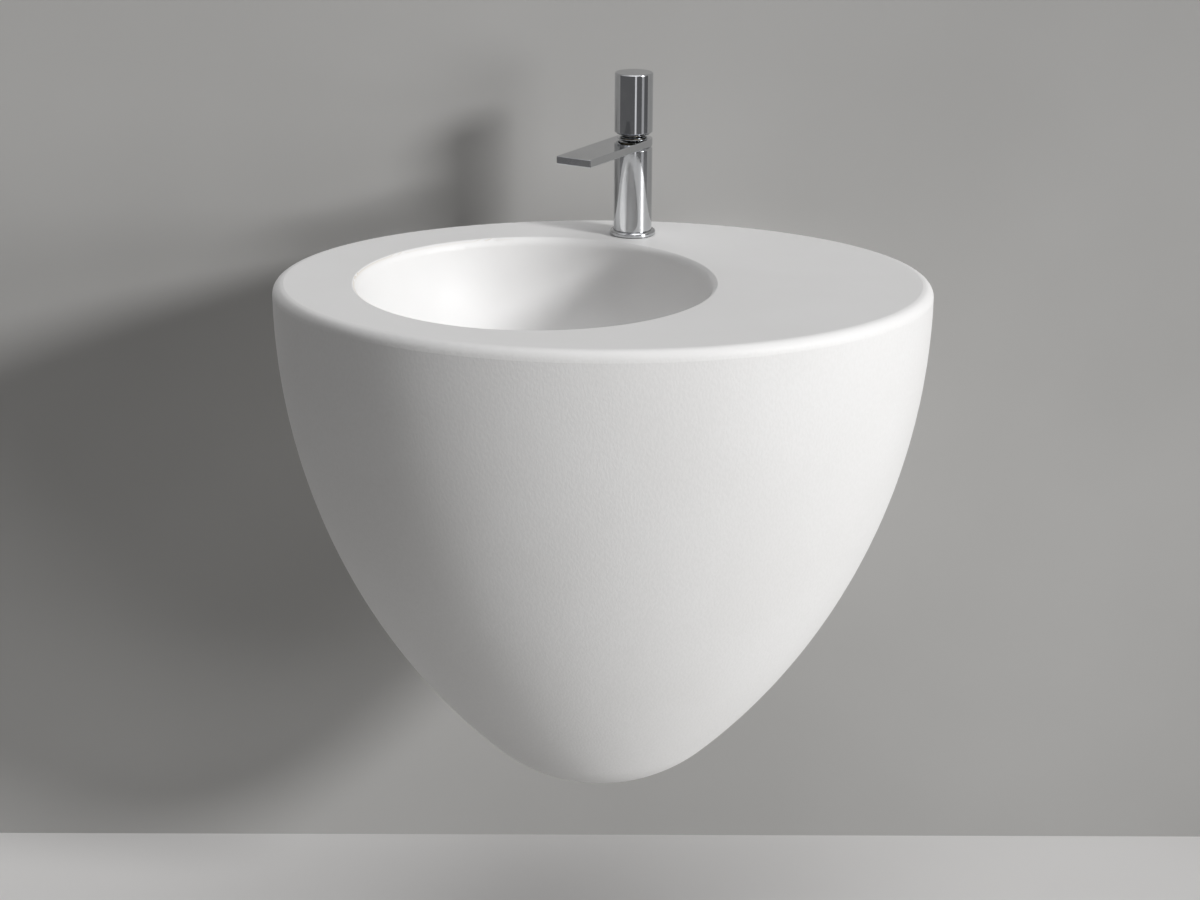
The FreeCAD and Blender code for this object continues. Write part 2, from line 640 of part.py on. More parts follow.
pair("wall_bolts", lambda name: turned(name, [
    (0, -bolt_into_wall),
    (anchor_radius - 1.5, -bolt_into_wall),
    (anchor_radius, 3 - bolt_into_wall),
    (anchor_radius, -anchor_start),
    (bolt_radius, -anchor_start),
    (bolt_radius, nut_head + bolt_end - 1),
    (bolt_radius - 1, nut_head + bolt_end),
    (0, nut_head + bolt_end)]))
pair("wall_sleeves", lambda name: turned(name, [
    (bolt_radius + running, 0),
    (lug_hole_diameter / 2 - running, 0),
    (lug_hole_diameter / 2 - running, lug_thickness),
    (sleeve_flange_diameter / 2, lug_thickness),
    (sleeve_flange_diameter / 2, sleeve_head),
    (bolt_radius + running, sleeve_head)]))
pair("wall_washers", lambda name: turned(name, [
    (bolt_radius + easy, sleeve_head),
    (washer_diameter / 2, sleeve_head),
    (washer_diameter / 2, washer_head),
    (bolt_radius + easy, washer_head)]))
pair("wall_nuts", lambda name: without(
    name,
    prism(name + "_bar", 6, wall_nut_flats, washer_head, nut_head),
    rod(name + "_bore", bolt_diameter + 2 * running, washer_head - 1, nut_head + 1)))


# ---- tap -------------------------------------------------------------------------------------
# Built about its own axis with the deck at 0 and the spout along -Y, then turned to the bowl.

tap_spot = (tap_right, tap_y, rim_height)
tap_turn = Rotation(Vector(0, 0, 1), -spout_turn.number)


def keep_on_tap(made, label):
    return keep(made, label, tap_spot, tap_turn)


tap_radius = tap_diameter / 2
foot_radius = foot_diameter / 2
foot_top = gasket_thickness + foot_height
body_foot = foot_top - foot_step
keep_on_tap(turned("gasket", [
    (foot_bore / 2, 0),
    (foot_radius - 1, 0),
    (foot_radius - 1, gasket_thickness),
    (foot_bore / 2, gasket_thickness)]), "tap_base_gasket")
keep_on_tap(turned("foot", [
    (foot_bore / 2, gasket_thickness),
    (foot_radius, gasket_thickness),
    (foot_radius, foot_top, foot_round),
    (tap_radius + running, foot_top),
    (tap_radius + running, body_foot),
    (foot_bore / 2, body_foot)]), "tap_base_ring")

chamber_radius = chamber_diameter / 2
ways = [(port_side, -port_front), (-port_side, -port_front)]
body_blank = turned("body_blank", [
    (0, body_foot),
    (tap_radius, body_foot),
    (tap_radius, spout_under - body_bevel),
    (tap_radius - body_bevel, spout_under),
    (chamber_radius, spout_under),
    (chamber_radius, chamber_floor),
    (0, chamber_floor)])
body_ways = [rod(f"body_way_{number}", body_port_diameter, body_foot, chamber_floor + 1, way)
             for number, way in enumerate(ways)]
body_inlets = [rod(f"body_inlet_{number}", inlet_diameter, body_foot - 1, body_foot + inlet_depth, way)
               for number, way in enumerate(ways)]
stud_at = (0, stud_back)
stud_hole = rod("stud_hole", stud_diameter + 2 * running, body_foot - 1, body_foot + stud_depth, stud_at)
keep_on_tap(without("body", body_blank, *body_ways, *body_inlets, stud_hole), "tap_body")

# The spout is a thin slab whose root is a half round on the tap's axis.
spout_top = spout_under + spout_thickness
channel_low = spout_under + channel_floor
spout_blank = doc.addObject("PartDesign::Body", "spout_blank")
spout_outline = sketch_on(spout_blank, "XY_Plane", "spout_outline")
reach_spots = [Vector(-tap_radius.number, 0, 0), Vector(-tap_radius.number, -spout_reach.number, 0),
               Vector(tap_radius.number, -spout_reach.number, 0), Vector(tap_radius.number, 0, 0)]
for start, end in zip(reach_spots[:-1], reach_spots[1:]):
    spout_outline.addGeometry(Part.LineSegment(start, end), False)
spout_outline.addGeometry(arc(Vector(0, 0, 0), tap_radius.number, 0, math.pi), False)
for first, last in (((0, 2), (1, 1)), ((1, 2), (2, 1))):
    spout_outline.addConstraint(Sketcher.Constraint("Coincident", *first, *last))
spout_outline.addConstraint(Sketcher.Constraint("Tangent", 2, 2, 3, 1))
spout_outline.addConstraint(Sketcher.Constraint("Tangent", 0, 1, 3, 2))
spout_outline.addConstraint(Sketcher.Constraint("Coincident", 3, 3, -1, 1))
spout_outline.addConstraint(Sketcher.Constraint("Vertical", 0))
hold_radius(spout_outline, 3, tap_radius)
pin_point(spout_outline, 1, 2, tap_radius, -spout_reach)
spout_outline.addConstraint(Sketcher.Constraint("Horizontal", 1))
spout_pad = spout_blank.newObject("PartDesign::Pad", "spout_pad")
spout_pad.Profile = spout_outline
bind(spout_pad, "Length", spout_thickness)
doc.recompute()
spout_bevel = spout_blank.newObject("PartDesign::Chamfer", "spout_bevel")
spout_bevel.Base = (spout_pad, [f"Edge{number + 1}" for number in range(len(spout_pad.Shape.Edges))])
bind(spout_bevel, "Size", spout_edge)
lower(spout_blank, (0, 0, spout_under))

aerator_spot = (0, -aerator_reach)
aerator_roof = spout_under + aerator_depth
spout_bore = rod("spout_bore", chamber_diameter, spout_under - 1, spout_top + 1)
channel = block("channel", (-channel_width / 2, -aerator_reach, channel_low),
                (channel_width / 2, 0, channel_low + channel_height))
aerator_pocket = rod("aerator_pocket", aerator_diameter, spout_under - 1, aerator_roof, aerator_spot)
keep_on_tap(without("spout", spout_blank, spout_bore, channel, aerator_pocket), "spout_slab")

aerator_foot = spout_under - aerator_proud
aerator_radius = aerator_diameter / 2 - running
insert_radius = aerator_radius - aerator_wall
keep_on_tap(grouped("aerator_ring_group", turned("aerator_ring", [
    (insert_radius + running, aerator_foot),
    (aerator_radius, aerator_foot),
    (aerator_radius, channel_low),
    (insert_radius + running, channel_low)]), (0, -aerator_reach, 0)), "aerator_housing")

# The aerator's insert is a disc with a wheel of slots.
insert = doc.addObject("PartDesign::Body", "insert")
insert_sketch = sketch_on(insert, "XY_Plane", "insert_outline")
insert_sketch.addGeometry(Part.Circle(Vector(0, 0, 0), Vector(0, 0, 1), insert_radius.number), False)
insert_sketch.addConstraint(Sketcher.Constraint("Coincident", 0, 3, -1, 1))
hold_radius(insert_sketch, 0, insert_radius)
insert_pad = insert.newObject("PartDesign::Pad", "insert_pad")
insert_pad.Profile = insert_sketch
bind(insert_pad, "Length", channel_floor + aerator_proud)
slot_sketch = sketch_on(insert, "XY_Plane", "slot_outline")
draw_outline(slot_sketch, [
    (-slot_width / 2, slot_inner),
    (slot_width / 2, slot_inner),
    (slot_width / 2, insert_radius - slot_width),
    (-slot_width / 2, insert_radius - slot_width)])
slot = insert.newObject("PartDesign::Pocket", "slot")
slot.Profile = slot_sketch
slot.Type = "ThroughAll"
slot.Reversed = True
slots = insert.newObject("PartDesign::PolarPattern", "slots")
slots.Originals = [slot]
slots.Axis = (slot_sketch, ["N_Axis"])
slots.Angle = 360
slots.Occurrences = slot_count
insert.Tip = slots
keep_on_tap(grouped("insert_group", insert, (0, -aerator_reach, aerator_foot)), "aerator_insert")


# ---- cartridge -------------------------------------------------------------------------------

cartridge_radius = cartridge_diameter / 2
cartridge_bore = cartridge_radius - cartridge_wall
base_top = chamber_floor + cartridge_base_height
disc_top = base_top + disc_thickness
throat = throat_diameter / 2
nut_foot = spout_top - nut_thread
housing_top = nut_foot
roof_under = housing_top - roof_thickness

base_ways = [rod(f"base_way_{number}", body_port_diameter, chamber_floor - 1, base_top + 1, way)
             for number, way in enumerate(ways)]
seal_seats = [rod(f"seal_seat_{number}", 2 * (inlet_seal_radius + inlet_seal_wire / 2 + running),
                  chamber_floor - 1, chamber_floor + inlet_seal_wire, way)
              for number, way in enumerate(ways)]
base_outlet = rod("base_outlet", outlet_diameter, chamber_floor + 1, base_top + 1, (0, outlet_back))
base_groove = block("base_groove", (-outlet_diameter / 2, outlet_back, chamber_floor + 1),
                    (outlet_diameter / 2, cartridge_radius + 1, base_top - 1))
keep_on_tap(without("base", rod("base_blank", cartridge_diameter, chamber_floor, base_top), *base_ways,
                    *seal_seats, base_outlet, base_groove), "cartridge_base")
inlet_seals = doc.addObject("Part::Compound", "inlet_seals")
inlet_rings = []
for number, way in enumerate(ways):
    inlet_ring = doc.addObject("Part::Torus", f"inlet_ring_{number}")
    bind(inlet_ring, "Radius1", inlet_seal_radius)
    bind(inlet_ring, "Radius2", inlet_seal_wire / 2)
    lower(inlet_ring, (way[0], way[1], chamber_floor + inlet_seal_wire / 2))
    inlet_rings.append(inlet_ring)
inlet_seals.Links = inlet_rings
keep_on_tap(inlet_seals, "cartridge_inlet_seals")

disc_ways = [rod(f"disc_way_{number}", disc_port_diameter, base_top - 1, disc_top + 1, way)
             for number, way in enumerate(ways)]
disc_outlet = rod("disc_outlet", outlet_diameter, base_top - 1, disc_top + 1, (0, outlet_back))
keep_on_tap(without("fixed", rod("fixed_blank", 2 * (cartridge_bore - running), base_top, disc_top),
                    *disc_ways, disc_outlet), "fixed_disc")

moving_foot = disc_top + disc_film
moving_top = moving_foot + moving_disc_thickness
mixing = rod("mixing", mixing_diameter, moving_foot - 1, moving_foot + mixing_depth)
keep_on_tap(without("moving", rod("moving_blank", moving_disc_diameter, moving_foot, moving_top), mixing),
            "moving_disc")

ball_level = pivot_height - ball_arm
carrier_top = moving_top + carrier_height
carrier_socket = rod("carrier_socket", lever_ball_diameter + 2 * easy, carrier_top - carrier_socket_depth,
                     carrier_top + 1)
key_half = rotor_slot_width / 2 - 2 * running
carrier_key = block("carrier_key", (-key_half, -carrier_key_length / 2, carrier_top - 1),
                    (key_half, carrier_key_length / 2, carrier_top + carrier_key_height))
carrier_blank = joined("carrier_blank", rod("carrier_disc", carrier_diameter, moving_top, carrier_top),
                       carrier_key)
key_bore = rod("key_bore", lever_ball_diameter + 4 * easy, carrier_top, carrier_top + carrier_key_height + 1)
keep_on_tap(without("carrier", carrier_blank, carrier_socket, key_bore), "disc_carrier")

keep_on_tap(turned("housing", [
    (cartridge_bore, base_top),
    (cartridge_radius, base_top),
    (cartridge_radius, housing_top - flange_thickness),
    (chamber_radius - running, housing_top - flange_thickness),
    (chamber_radius - running, housing_top),
    (throat, housing_top),
    (throat, roof_under),
    (cartridge_bore, roof_under)]), "cartridge_housing")

rotor_blank = rod("rotor_blank", 2 * (cartridge_bore - running), rotor_foot, roof_under - running)
rotor_slot = block("rotor_slot", (-rotor_slot_width / 2, -rotor_slot_length / 2, rotor_foot - 1),
                   (rotor_slot_width / 2, rotor_slot_length / 2, roof_under + 1))


def cross_rod(name, diameter, length):
    """A rod along X on the lever's pivot axis."""
    made = doc.addObject("Part::Cylinder", name)
    bind(made, "Radius", diameter / 2)
    bind(made, "Height", length)
    lower(made, (-length / 2, 0, pivot_height), Rotation(Vector(0, 1, 0), 90))
    return made


rotor_cross_bore = cross_rod("rotor_cross_bore", pin_diameter + 2 * pin_fit, cartridge_diameter)
keep_on_tap(without("rotor", rotor_blank, rotor_slot, rotor_cross_bore), "lever_rotor")
keep_on_tap(grouped("pin_group", cross_rod("pin", pin_diameter, pin_length)), "lever_pin")

lever_radius = lever_diameter / 2
ball_radius = lever_ball_diameter / 2
lever_blank = turned("lever_blank", [
    (0, ball_level - ball_radius),
    (ball_radius, ball_level - ball_radius, ball_radius * 0.9),
    (ball_radius, lever_foot),
    (lever_radius, lever_foot),
    (lever_radius, lever_top),
    (0, lever_top)])
lever_cross_bore = cross_rod("lever_cross_bore", pin_diameter + 2 * running, 2 * lever_diameter)
keep_on_tap(without("lever", lever_blank, lever_cross_bore), "lever_stem")

# A thin dome on the lever hides the throat. It is part of a ball about the pivot, so it clears the
# nut at every tilt.
dome_blank = doc.addObject("Part::Sphere", "dome_blank")
bind(dome_blank, "Radius", dome_radius + dome_wall)
bind(dome_blank, "Angle1", dome_edge)
lower(dome_blank, (0, 0, pivot_height))
dome_room = doc.addObject("Part::Sphere", "dome_room")
bind(dome_room, "Radius", dome_radius)
lower(dome_room, (0, 0, pivot_height))
dome_bore = rod("dome_bore", lever_diameter + 2 * running, pivot_height,
                pivot_height + dome_radius + 2 * dome_wall)
keep_on_tap(without("dome", dome_blank, dome_room, dome_bore), "lever_dome")

keep_on_tap(turned("cartridge_nut_turned", [
    (throat, nut_foot),
    (chamber_radius - running, nut_foot),
    (chamber_radius - running, spout_top),
    (collar_diameter / 2, spout_top),
    (collar_top_diameter / 2, spout_top + collar_height),
    (throat, spout_top + collar_height)]), "cartridge_nut")


# ---- handle ----------------------------------------------------------------------------------

handle_foot = spout_top + handle_gap
adapter_radius = handle_bore / 2 - running
adapter_top = adapter_foot + adapter_height
handle_shell = turned("handle_turned", [
    (handle_bore / 2, handle_foot),
    (tap_radius - handle_bevel, handle_foot),
    (tap_radius, handle_foot + handle_bevel),
    (tap_radius, tap_height, handle_edge),
    (0, tap_height),
    (0, tap_height - handle_roof),
    (handle_bore / 2, tap_height - handle_roof)])
screw_bore_diameter = screw_diameter + 2 * running
handle_screw_bore = rod_along_y("handle_screw_bore", screw_bore_diameter, lever_radius, tap_radius + 1,
                                (0, screw_height))
keep_on_tap(without("handle", handle_shell, handle_screw_bore), "handle_shell")
adapter_blank = rod("adapter_blank", 2 * adapter_radius, adapter_foot, adapter_top)
adapter_bore = rod("adapter_bore", lever_diameter + 2 * running, adapter_foot - 1, lever_top + easy)
adapter_screw_bore = rod_along_y("adapter_screw_bore", screw_bore_diameter, 0, tap_radius, (0, screw_height))
keep_on_tap(without("adapter", adapter_blank, adapter_bore, adapter_screw_bore), "handle_adapter")
screw = rod_along_y("screw", screw_diameter, lever_radius + running, tap_radius - screw_recess,
                    (0, screw_height))
keep_on_tap(grouped("screw_group", screw), "handle_screw")


# ---- fixing of the tap under the deck --------------------------------------------------------

rubber_top = -deck_thickness
plate_top = rubber_top - horseshoe_rubber_thickness
nut_top = plate_top - horseshoe_plate_thickness


def horseshoe(name, low, high):
    """A disc with a hole for the stud and a slot for the inlets, open to the front."""
    slot_end = -port_front + inlet_diameter / 2
    half = horseshoe_slot / 2
    slot_bar = block(name + "_slot", (-half, -horseshoe_diameter, low - 1), (half, slot_end, high + 1))
    stud_bore = rod(name + "_bore", stud_diameter + 2 * easy, low - 1, high + 1, stud_at)
    return without(name, rod(name + "_blank", horseshoe_diameter, low, high), slot_bar, stud_bore)


keep_on_tap(horseshoe("rubber", plate_top, rubber_top), "horseshoe_rubber")
keep_on_tap(horseshoe("plate", nut_top, plate_top), "horseshoe_plate")
stud = rod("stud", stud_diameter, -stud_length, body_foot + stud_depth, stud_at)
keep_on_tap(grouped("stud_group", stud), "fixing_stud")
stud_nut_bar = prism("stud_nut_bar", 6, stud_nut_flats, nut_top - stud_nut_height, nut_top)
lower(stud_nut_bar, (0, stud_back, nut_top - stud_nut_height))
keep_on_tap(without("long_nut", stud_nut_bar, rod("stud_nut_bore", stud_diameter + 2 * running,
                                                  nut_top - stud_nut_height - 1, nut_top + 1, stud_at)),
            "stud_nut")


# ---- waste -----------------------------------------------------------------------------------
# Built about the drain's axis with the seat in the bowl's floor at 0.

drain_spot = (-bowl_left, bowl_y, rim_height + seat_level)


def keep_in_drain(made, label):
    return keep(made, label, drain_spot)


flange_radius = waste_flange_diameter / 2
flange_top = waste_seal_thickness + waste_flange_thickness
dish_level = flange_top - waste_dish_depth
tube_radius = waste_tube_diameter / 2
waste_radius = waste_bore / 2
keep_in_drain(turned("upper_seal", [
    (drain_hole_diameter / 2, 0),
    (flange_radius - 1, 0),
    (flange_radius - 1, waste_seal_thickness),
    (drain_hole_diameter / 2, waste_seal_thickness)]), "waste_upper_seal")
waste_turned = turned("waste_turned", [
    (waste_radius, -waste_length),
    (tube_radius, -waste_length),
    (tube_radius, waste_seal_thickness),
    (flange_radius, waste_seal_thickness),
    (flange_radius, flange_top, 1.5),
    (waste_dish_diameter / 2, flange_top),
    (waste_dish_diameter / 2, dish_level),
    (waste_radius, dish_level)])
hub_low = -hub_drop - hub_height
hub = rod("hub", hub_diameter, hub_low, -hub_drop)
webs = []
for number, angle in enumerate((30, 150, 270)):
    web = block(f"web_{number}", (0, 0, hub_low), (waste_radius + 1, web_width, -hub_drop))
    aside = math.radians(angle)
    lower(web, (web_width * (math.sin(aside) / 2), web_width * (-math.cos(aside) / 2), hub_low),
          Rotation(Vector(0, 0, 1), angle))
    webs.append(web)
click_hole = rod("click_hole", click_diameter + 2 * running, hub_low - 1, 1 - hub_drop)
keep_in_drain(without("waste", joined("waste_blank", waste_turned, hub, *webs), click_hole), "waste_body")

cone_top = -drain_floor
backnut_top = cone_top - waste_cone_thickness
keep_in_drain(turned("cone", [
    (tube_radius + easy, backnut_top),
    (waste_cone_diameter / 2, backnut_top),
    (waste_cone_diameter / 2, cone_top),
    (tube_radius + easy, cone_top)]), "waste_lower_seal")
backnut_foot = backnut_top - backnut_height
backnut_bore = rod("backnut_bore", waste_tube_diameter + 2 * running, backnut_foot - 1, backnut_top + 1)
keep_in_drain(without("backnut", prism("backnut_bar", 6, backnut_flats, backnut_foot, backnut_top),
                      backnut_bore), "waste_backnut")

click_radius = click_diameter / 2
bore_radius = click_bore / 2
stem_radius = plug_stem_diameter / 2
click_top = -click_top_drop
click_foot = click_top - click_length
keep_in_drain(turned("click", [
    (0, click_foot),
    (click_radius, click_foot),
    (click_radius, -hub_drop),
    (click_flange_diameter / 2, -hub_drop),
    (click_flange_diameter / 2, 2 - hub_drop),
    (click_radius, 2 - hub_drop),
    (click_radius, click_top),
    (stem_radius + running, click_top),
    (stem_radius + running, click_top - click_end),
    (bore_radius, click_top - click_end),
    (bore_radius, click_foot + click_end),
    (0, click_foot + click_end)]), "click_cartridge")

cap_under = flange_top + easy + plug_travel
piston_top = click_top - click_end - easy
piston_foot = piston_top - piston_height
keep_in_drain(turned("stem", [
    (0, piston_foot),
    (bore_radius - running, piston_foot),
    (bore_radius - running, piston_top),
    (stem_radius, piston_top),
    (stem_radius, cap_under),
    (0, cap_under)]), "plug_stem")
plug_radius = plug_diameter / 2
cap_rim_top = cap_under + plug_rim
cap = turned("cap_turned", [
    (0, cap_under),
    (plug_radius, cap_under),
    (plug_radius, cap_rim_top, 0.8),
    (plug_radius / 2, cap_rim_top + plug_crown, plug_radius * 4.3),
    (0, cap_rim_top + plug_crown)])
plug_boss = rod("plug_boss", plug_boss_diameter, cap_under - plug_boss_height, cap_under)
stem_seat = rod("stem_seat", plug_stem_diameter + 2 * running, cap_under - plug_boss_height - 1, cap_under)
keep_in_drain(without("cap", joined("cap_blank", cap, plug_boss), stem_seat), "plug_cap")
keep_in_drain(turned("cap_seal", [
    (plug_seal_bore / 2, cap_under - plug_seal_thickness),
    (plug_seal_diameter / 2, cap_under - plug_seal_thickness),
    (plug_seal_diameter / 2, cap_under),
    (plug_seal_bore / 2, cap_under)]), "plug_seal")

spring_foot = click_foot + click_end + spring_wire / 2 + running
spring_top = piston_foot - spring_wire / 2 - running
spring = doc.addObject("PartDesign::Body", "spring")
wire_sketch = sketch_on(spring, "XZ_Plane", "spring_wire_section")
wire_sketch.addGeometry(Part.Circle(Vector(spring_diameter.number / 2, spring_foot.number, 0),
                                    Vector(0, 0, 1), spring_wire.number / 2), False)
pin_point(wire_sketch, 0, 3, spring_diameter / 2, spring_foot)
hold_radius(wire_sketch, 0, spring_wire / 2)
coil = spring.newObject("PartDesign::AdditiveHelix", "coil")
coil.Profile = wire_sketch
coil.ReferenceAxis = (wire_sketch, ["V_Axis"])
coil.Mode = "height-turns-angle"
bind(coil, "Height", spring_top - spring_foot)
coil.Turns = spring_turns
keep_in_drain(spring, "plug_spring")


# ---- bottle trap -----------------------------------------------------------------------------
# Same axis and same zero as the waste.

pipe_radius = pipe_diameter / 2
tail_flange_top = -waste_length - trap_seal_thickness
tail_flange_foot = tail_flange_top - tail_flange_thickness
neck_top = -neck_drop
neck_foot = neck_top - neck_height
bottle_foot = neck_foot - trap_height
tail_foot = bottle_foot - tail_dip
neck_radius = neck_diameter / 2
trap_radius = trap_diameter / 2


def ring(name, inner, outer, low, high):
    return turned(name, [(inner, low), (outer, low), (outer, high), (inner, high)])


def hand_nut(name, thread_diameter, lip_top, cover):
    """An eight-sided hand nut: its lip holds the pipe's flange or seal, its skirt the thread."""
    lip_foot = lip_top - hand_nut_lip
    bar = prism(name + "_bar", 8, hand_nut_flats, lip_foot, lip_top + cover)
    thread_bore = rod(name + "_thread", thread_diameter + 2 * running, lip_top, lip_top + cover + 1)
    pipe_bore = rod(name + "_pipe", pipe_diameter + 2 * easy, lip_foot - 1, lip_top + 1)
    return without(name, bar, thread_bore, pipe_bore)


keep_in_drain(ring("inlet_seal", pipe_radius, tail_flange_diameter / 2, tail_flange_top,
                   tail_flange_top + trap_seal_thickness), "trap_inlet_seal")
keep_in_drain(turned("tail", [
    (pipe_radius - pipe_wall, tail_foot),
    (pipe_radius, tail_foot),
    (pipe_radius, tail_flange_foot),
    (tail_flange_diameter / 2, tail_flange_foot),
    (tail_flange_diameter / 2, tail_flange_top),
    (pipe_radius - pipe_wall, tail_flange_top)]), "trap_tail")
keep_in_drain(hand_nut("inlet_nut", waste_tube_diameter, tail_flange_foot, inlet_nut_cover), "trap_inlet_nut")

keep_in_drain(ring("neck_seal", pipe_radius + running, neck_radius, neck_top, neck_top + trap_seal_thickness),
              "trap_neck_seal")
neck_nut = hand_nut("neck_nut", neck_diameter, as_length(0), hand_nut_cover + trap_seal_thickness)
keep(neck_nut, "trap_neck_nut",
     (drain_spot[0], drain_spot[1], drain_spot[2] + neck_top + trap_seal_thickness),
     Rotation(Vector(1, 0, 0), 180))

bottle = turned("bottle", [
    (pipe_radius + easy, neck_top),
    (neck_radius, neck_top),
    (neck_radius, neck_foot),
    (trap_radius, neck_foot, bottle_round),
    (trap_radius, bottle_foot),
    (trap_radius - trap_wall, bottle_foot),
    (trap_radius - trap_wall, neck_foot - trap_wall, bottle_round - trap_wall),
    (pipe_radius + easy, neck_foot - trap_wall)])
stub = rod_along_y("stub", neck_diameter, 0, stub_length, (0, -outlet_drop))
stub_bore = rod_along_y("stub_bore", pipe_diameter + 2 * easy, 0, stub_length + 1, (0, -outlet_drop))
bottle_room = turned("bottle_room", [
    (0, bottle_foot - 1),
    (trap_radius - trap_wall, bottle_foot - 1),
    (trap_radius - trap_wall, neck_foot - trap_wall, bottle_round - trap_wall),
    (0, neck_foot - trap_wall)])
neck_bore = rod("neck_bore", pipe_diameter + 2 * easy, neck_foot - 2 * trap_wall, neck_top + 1)
bottle_blank = joined("bottle_blank", bottle, stub)
keep_in_drain(without("bottle_cut", bottle_blank, bottle_room, neck_bore, stub_bore), "trap_body")

cup_radius = cup_diameter / 2
cup_step = bottle_foot - trap_seal_thickness
cup_foot = cup_step - cup_depth
keep_in_drain(ring("cup_seal", trap_radius - trap_wall, trap_radius, cup_step, bottle_foot), "trap_cup_seal")
keep_in_drain(turned("cup", [
    (0, cup_foot),
    (trap_radius, cup_foot, cup_round),
    (trap_radius, cup_step - cup_wall),
    (cup_radius, cup_step - cup_wall),
    (cup_radius, bottle_foot + cup_cover),
    (trap_radius + running, bottle_foot + cup_cover),
    (trap_radius + running, cup_step),
    (trap_radius - trap_wall, cup_step),
    (trap_radius - trap_wall, cup_foot + cup_wall, cup_round - trap_wall),
    (0, cup_foot + cup_wall)]), "trap_cup")

stub_end = stub_length + trap_seal_thickness
outlet_level = drain_spot[2] - outlet_drop
keep(ring("outlet_seal", pipe_radius + running, neck_radius, as_length(0), trap_seal_thickness),
     "trap_outlet_seal", (drain_spot[0], drain_spot[1] + stub_length, outlet_level),
     Rotation(Vector(1, 0, 0), -90))
keep(hand_nut("outlet_nut", neck_diameter, as_length(0), hand_nut_cover + trap_seal_thickness),
     "trap_outlet_nut", (drain_spot[0], drain_spot[1] + stub_end, outlet_level),
     Rotation(Vector(1, 0, 0), 90))
bead_start = -(bowl_y + bead_before_wall)
pipe_end = pipe_into_wall - bowl_y
outlet_pipe = turned("outlet", [
    (pipe_radius - pipe_wall, trap_radius + easy),
    (pipe_radius, trap_radius + easy),
    (pipe_radius, bead_start),
    (pipe_radius + bead_height, bead_start, bead_height / 2),
    (pipe_radius + bead_height, bead_start + bead_width, bead_height / 2),
    (pipe_radius, bead_start + bead_width),
    (pipe_radius, pipe_end),
    (pipe_radius - pipe_wall, pipe_end)])
keep(outlet_pipe, "trap_outlet_pipe", (drain_spot[0], drain_spot[1], outlet_level),
     Rotation(Vector(1, 0, 0), -90))


# ---- check and write -------------------------------------------------------------------------

doc.recompute()
for made in doc.Objects:
    if "Invalid" in made.State or "Error" in made.State:
        raise RuntimeError(f"{made.Name} did not build: {made.State}")
for piece in pieces:
    if piece.Shape.isNull() or not piece.Shape.isValid():
        raise RuntimeError(f"{piece.Label} has no valid shape")
for piece in pieces:
    piece.Shape.exportStep(f"parts/{piece.Label}.step")
    print(f"{piece.Label}: {len(piece.Shape.Solids)} solid, {piece.Shape.Volume / 1000:.2f} cm3")
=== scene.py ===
import math

import bpy
import numpy as np
from mathutils import Matrix, Vector


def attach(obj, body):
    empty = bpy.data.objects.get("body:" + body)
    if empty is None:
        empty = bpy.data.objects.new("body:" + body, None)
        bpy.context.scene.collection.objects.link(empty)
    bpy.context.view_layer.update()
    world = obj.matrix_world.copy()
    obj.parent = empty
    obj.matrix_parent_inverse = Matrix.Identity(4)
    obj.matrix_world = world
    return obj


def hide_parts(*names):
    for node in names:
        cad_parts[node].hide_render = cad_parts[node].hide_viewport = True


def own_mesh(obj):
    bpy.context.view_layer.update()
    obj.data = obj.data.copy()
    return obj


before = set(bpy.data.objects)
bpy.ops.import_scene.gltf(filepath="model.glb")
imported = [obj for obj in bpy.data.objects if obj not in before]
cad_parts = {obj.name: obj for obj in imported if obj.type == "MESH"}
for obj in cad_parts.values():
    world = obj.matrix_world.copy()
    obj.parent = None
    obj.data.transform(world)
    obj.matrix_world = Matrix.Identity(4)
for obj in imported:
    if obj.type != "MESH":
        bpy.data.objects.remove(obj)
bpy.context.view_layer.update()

# Metres, in the part's own frame: the wall is the plane y = 0, the front faces -Y, +Z is up.
print("frame loaded:", len(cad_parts), "nodes")


# Node helpers. Each one adds a node and hands back its output.

def newFinish(name):  # an empty material with its shader wired to the end
    made = bpy.data.materials.new(name)
    made.use_nodes = True
    tree = made.node_tree
    tree.nodes.clear()
    shader = tree.nodes.new("ShaderNodeBsdfPrincipled")
    end = tree.nodes.new("ShaderNodeOutputMaterial")
    tree.links.new(shader.outputs["BSDF"], end.inputs["Surface"])
    return made, tree, shader


def wire(tree, socket, value):  # an output is linked, a number or colour is set
    if isinstance(value, bpy.types.NodeSocket):
        tree.links.new(value, socket)
    else:
        socket.default_value = value


def reckon(tree, how, *values):  # one sum
    made = tree.nodes.new("ShaderNodeMath")
    made.operation = how
    for socket, value in zip(made.inputs, values):
        wire(tree, socket, value)
    return made.outputs[0]


def plus(tree, first, second):
    return reckon(tree, "ADD", first, second)


def less(tree, first, second):
    return reckon(tree, "SUBTRACT", first, second)


def times(tree, first, second):
    return reckon(tree, "MULTIPLY", first, second)


def larger(tree, first, second):
    return reckon(tree, "MAXIMUM", first, second)


def span(tree, x, y):  # sqrt(x x + y y)
    return reckon(tree, "SQRT", plus(tree, times(tree, x, x), times(tree, y, y)))


def ease(tree, value, low, high, start=0.0, end=1.0):  # start at low, end at high, smooth between
    made = tree.nodes.new("ShaderNodeMapRange")
    made.interpolation_type = "SMOOTHSTEP"
    for name, amount in (("Value", value), ("From Min", low), ("From Max", high),
                         ("To Min", start), ("To Max", end)):
        wire(tree, made.inputs[name], amount)
    return made.outputs["Result"]


def place(tree, stretch=(1, 1, 1), turn=(0, 0, 0)):  # Object coordinates, turned and stretched
    spot = tree.nodes.new("ShaderNodeTexCoord")
    made = tree.nodes.new("ShaderNodeMapping")
    made.inputs["Rotation"].default_value = turn
    made.inputs["Scale"].default_value = stretch
    tree.links.new(spot.outputs["Object"], made.inputs["Vector"])
    return made.outputs["Vector"]


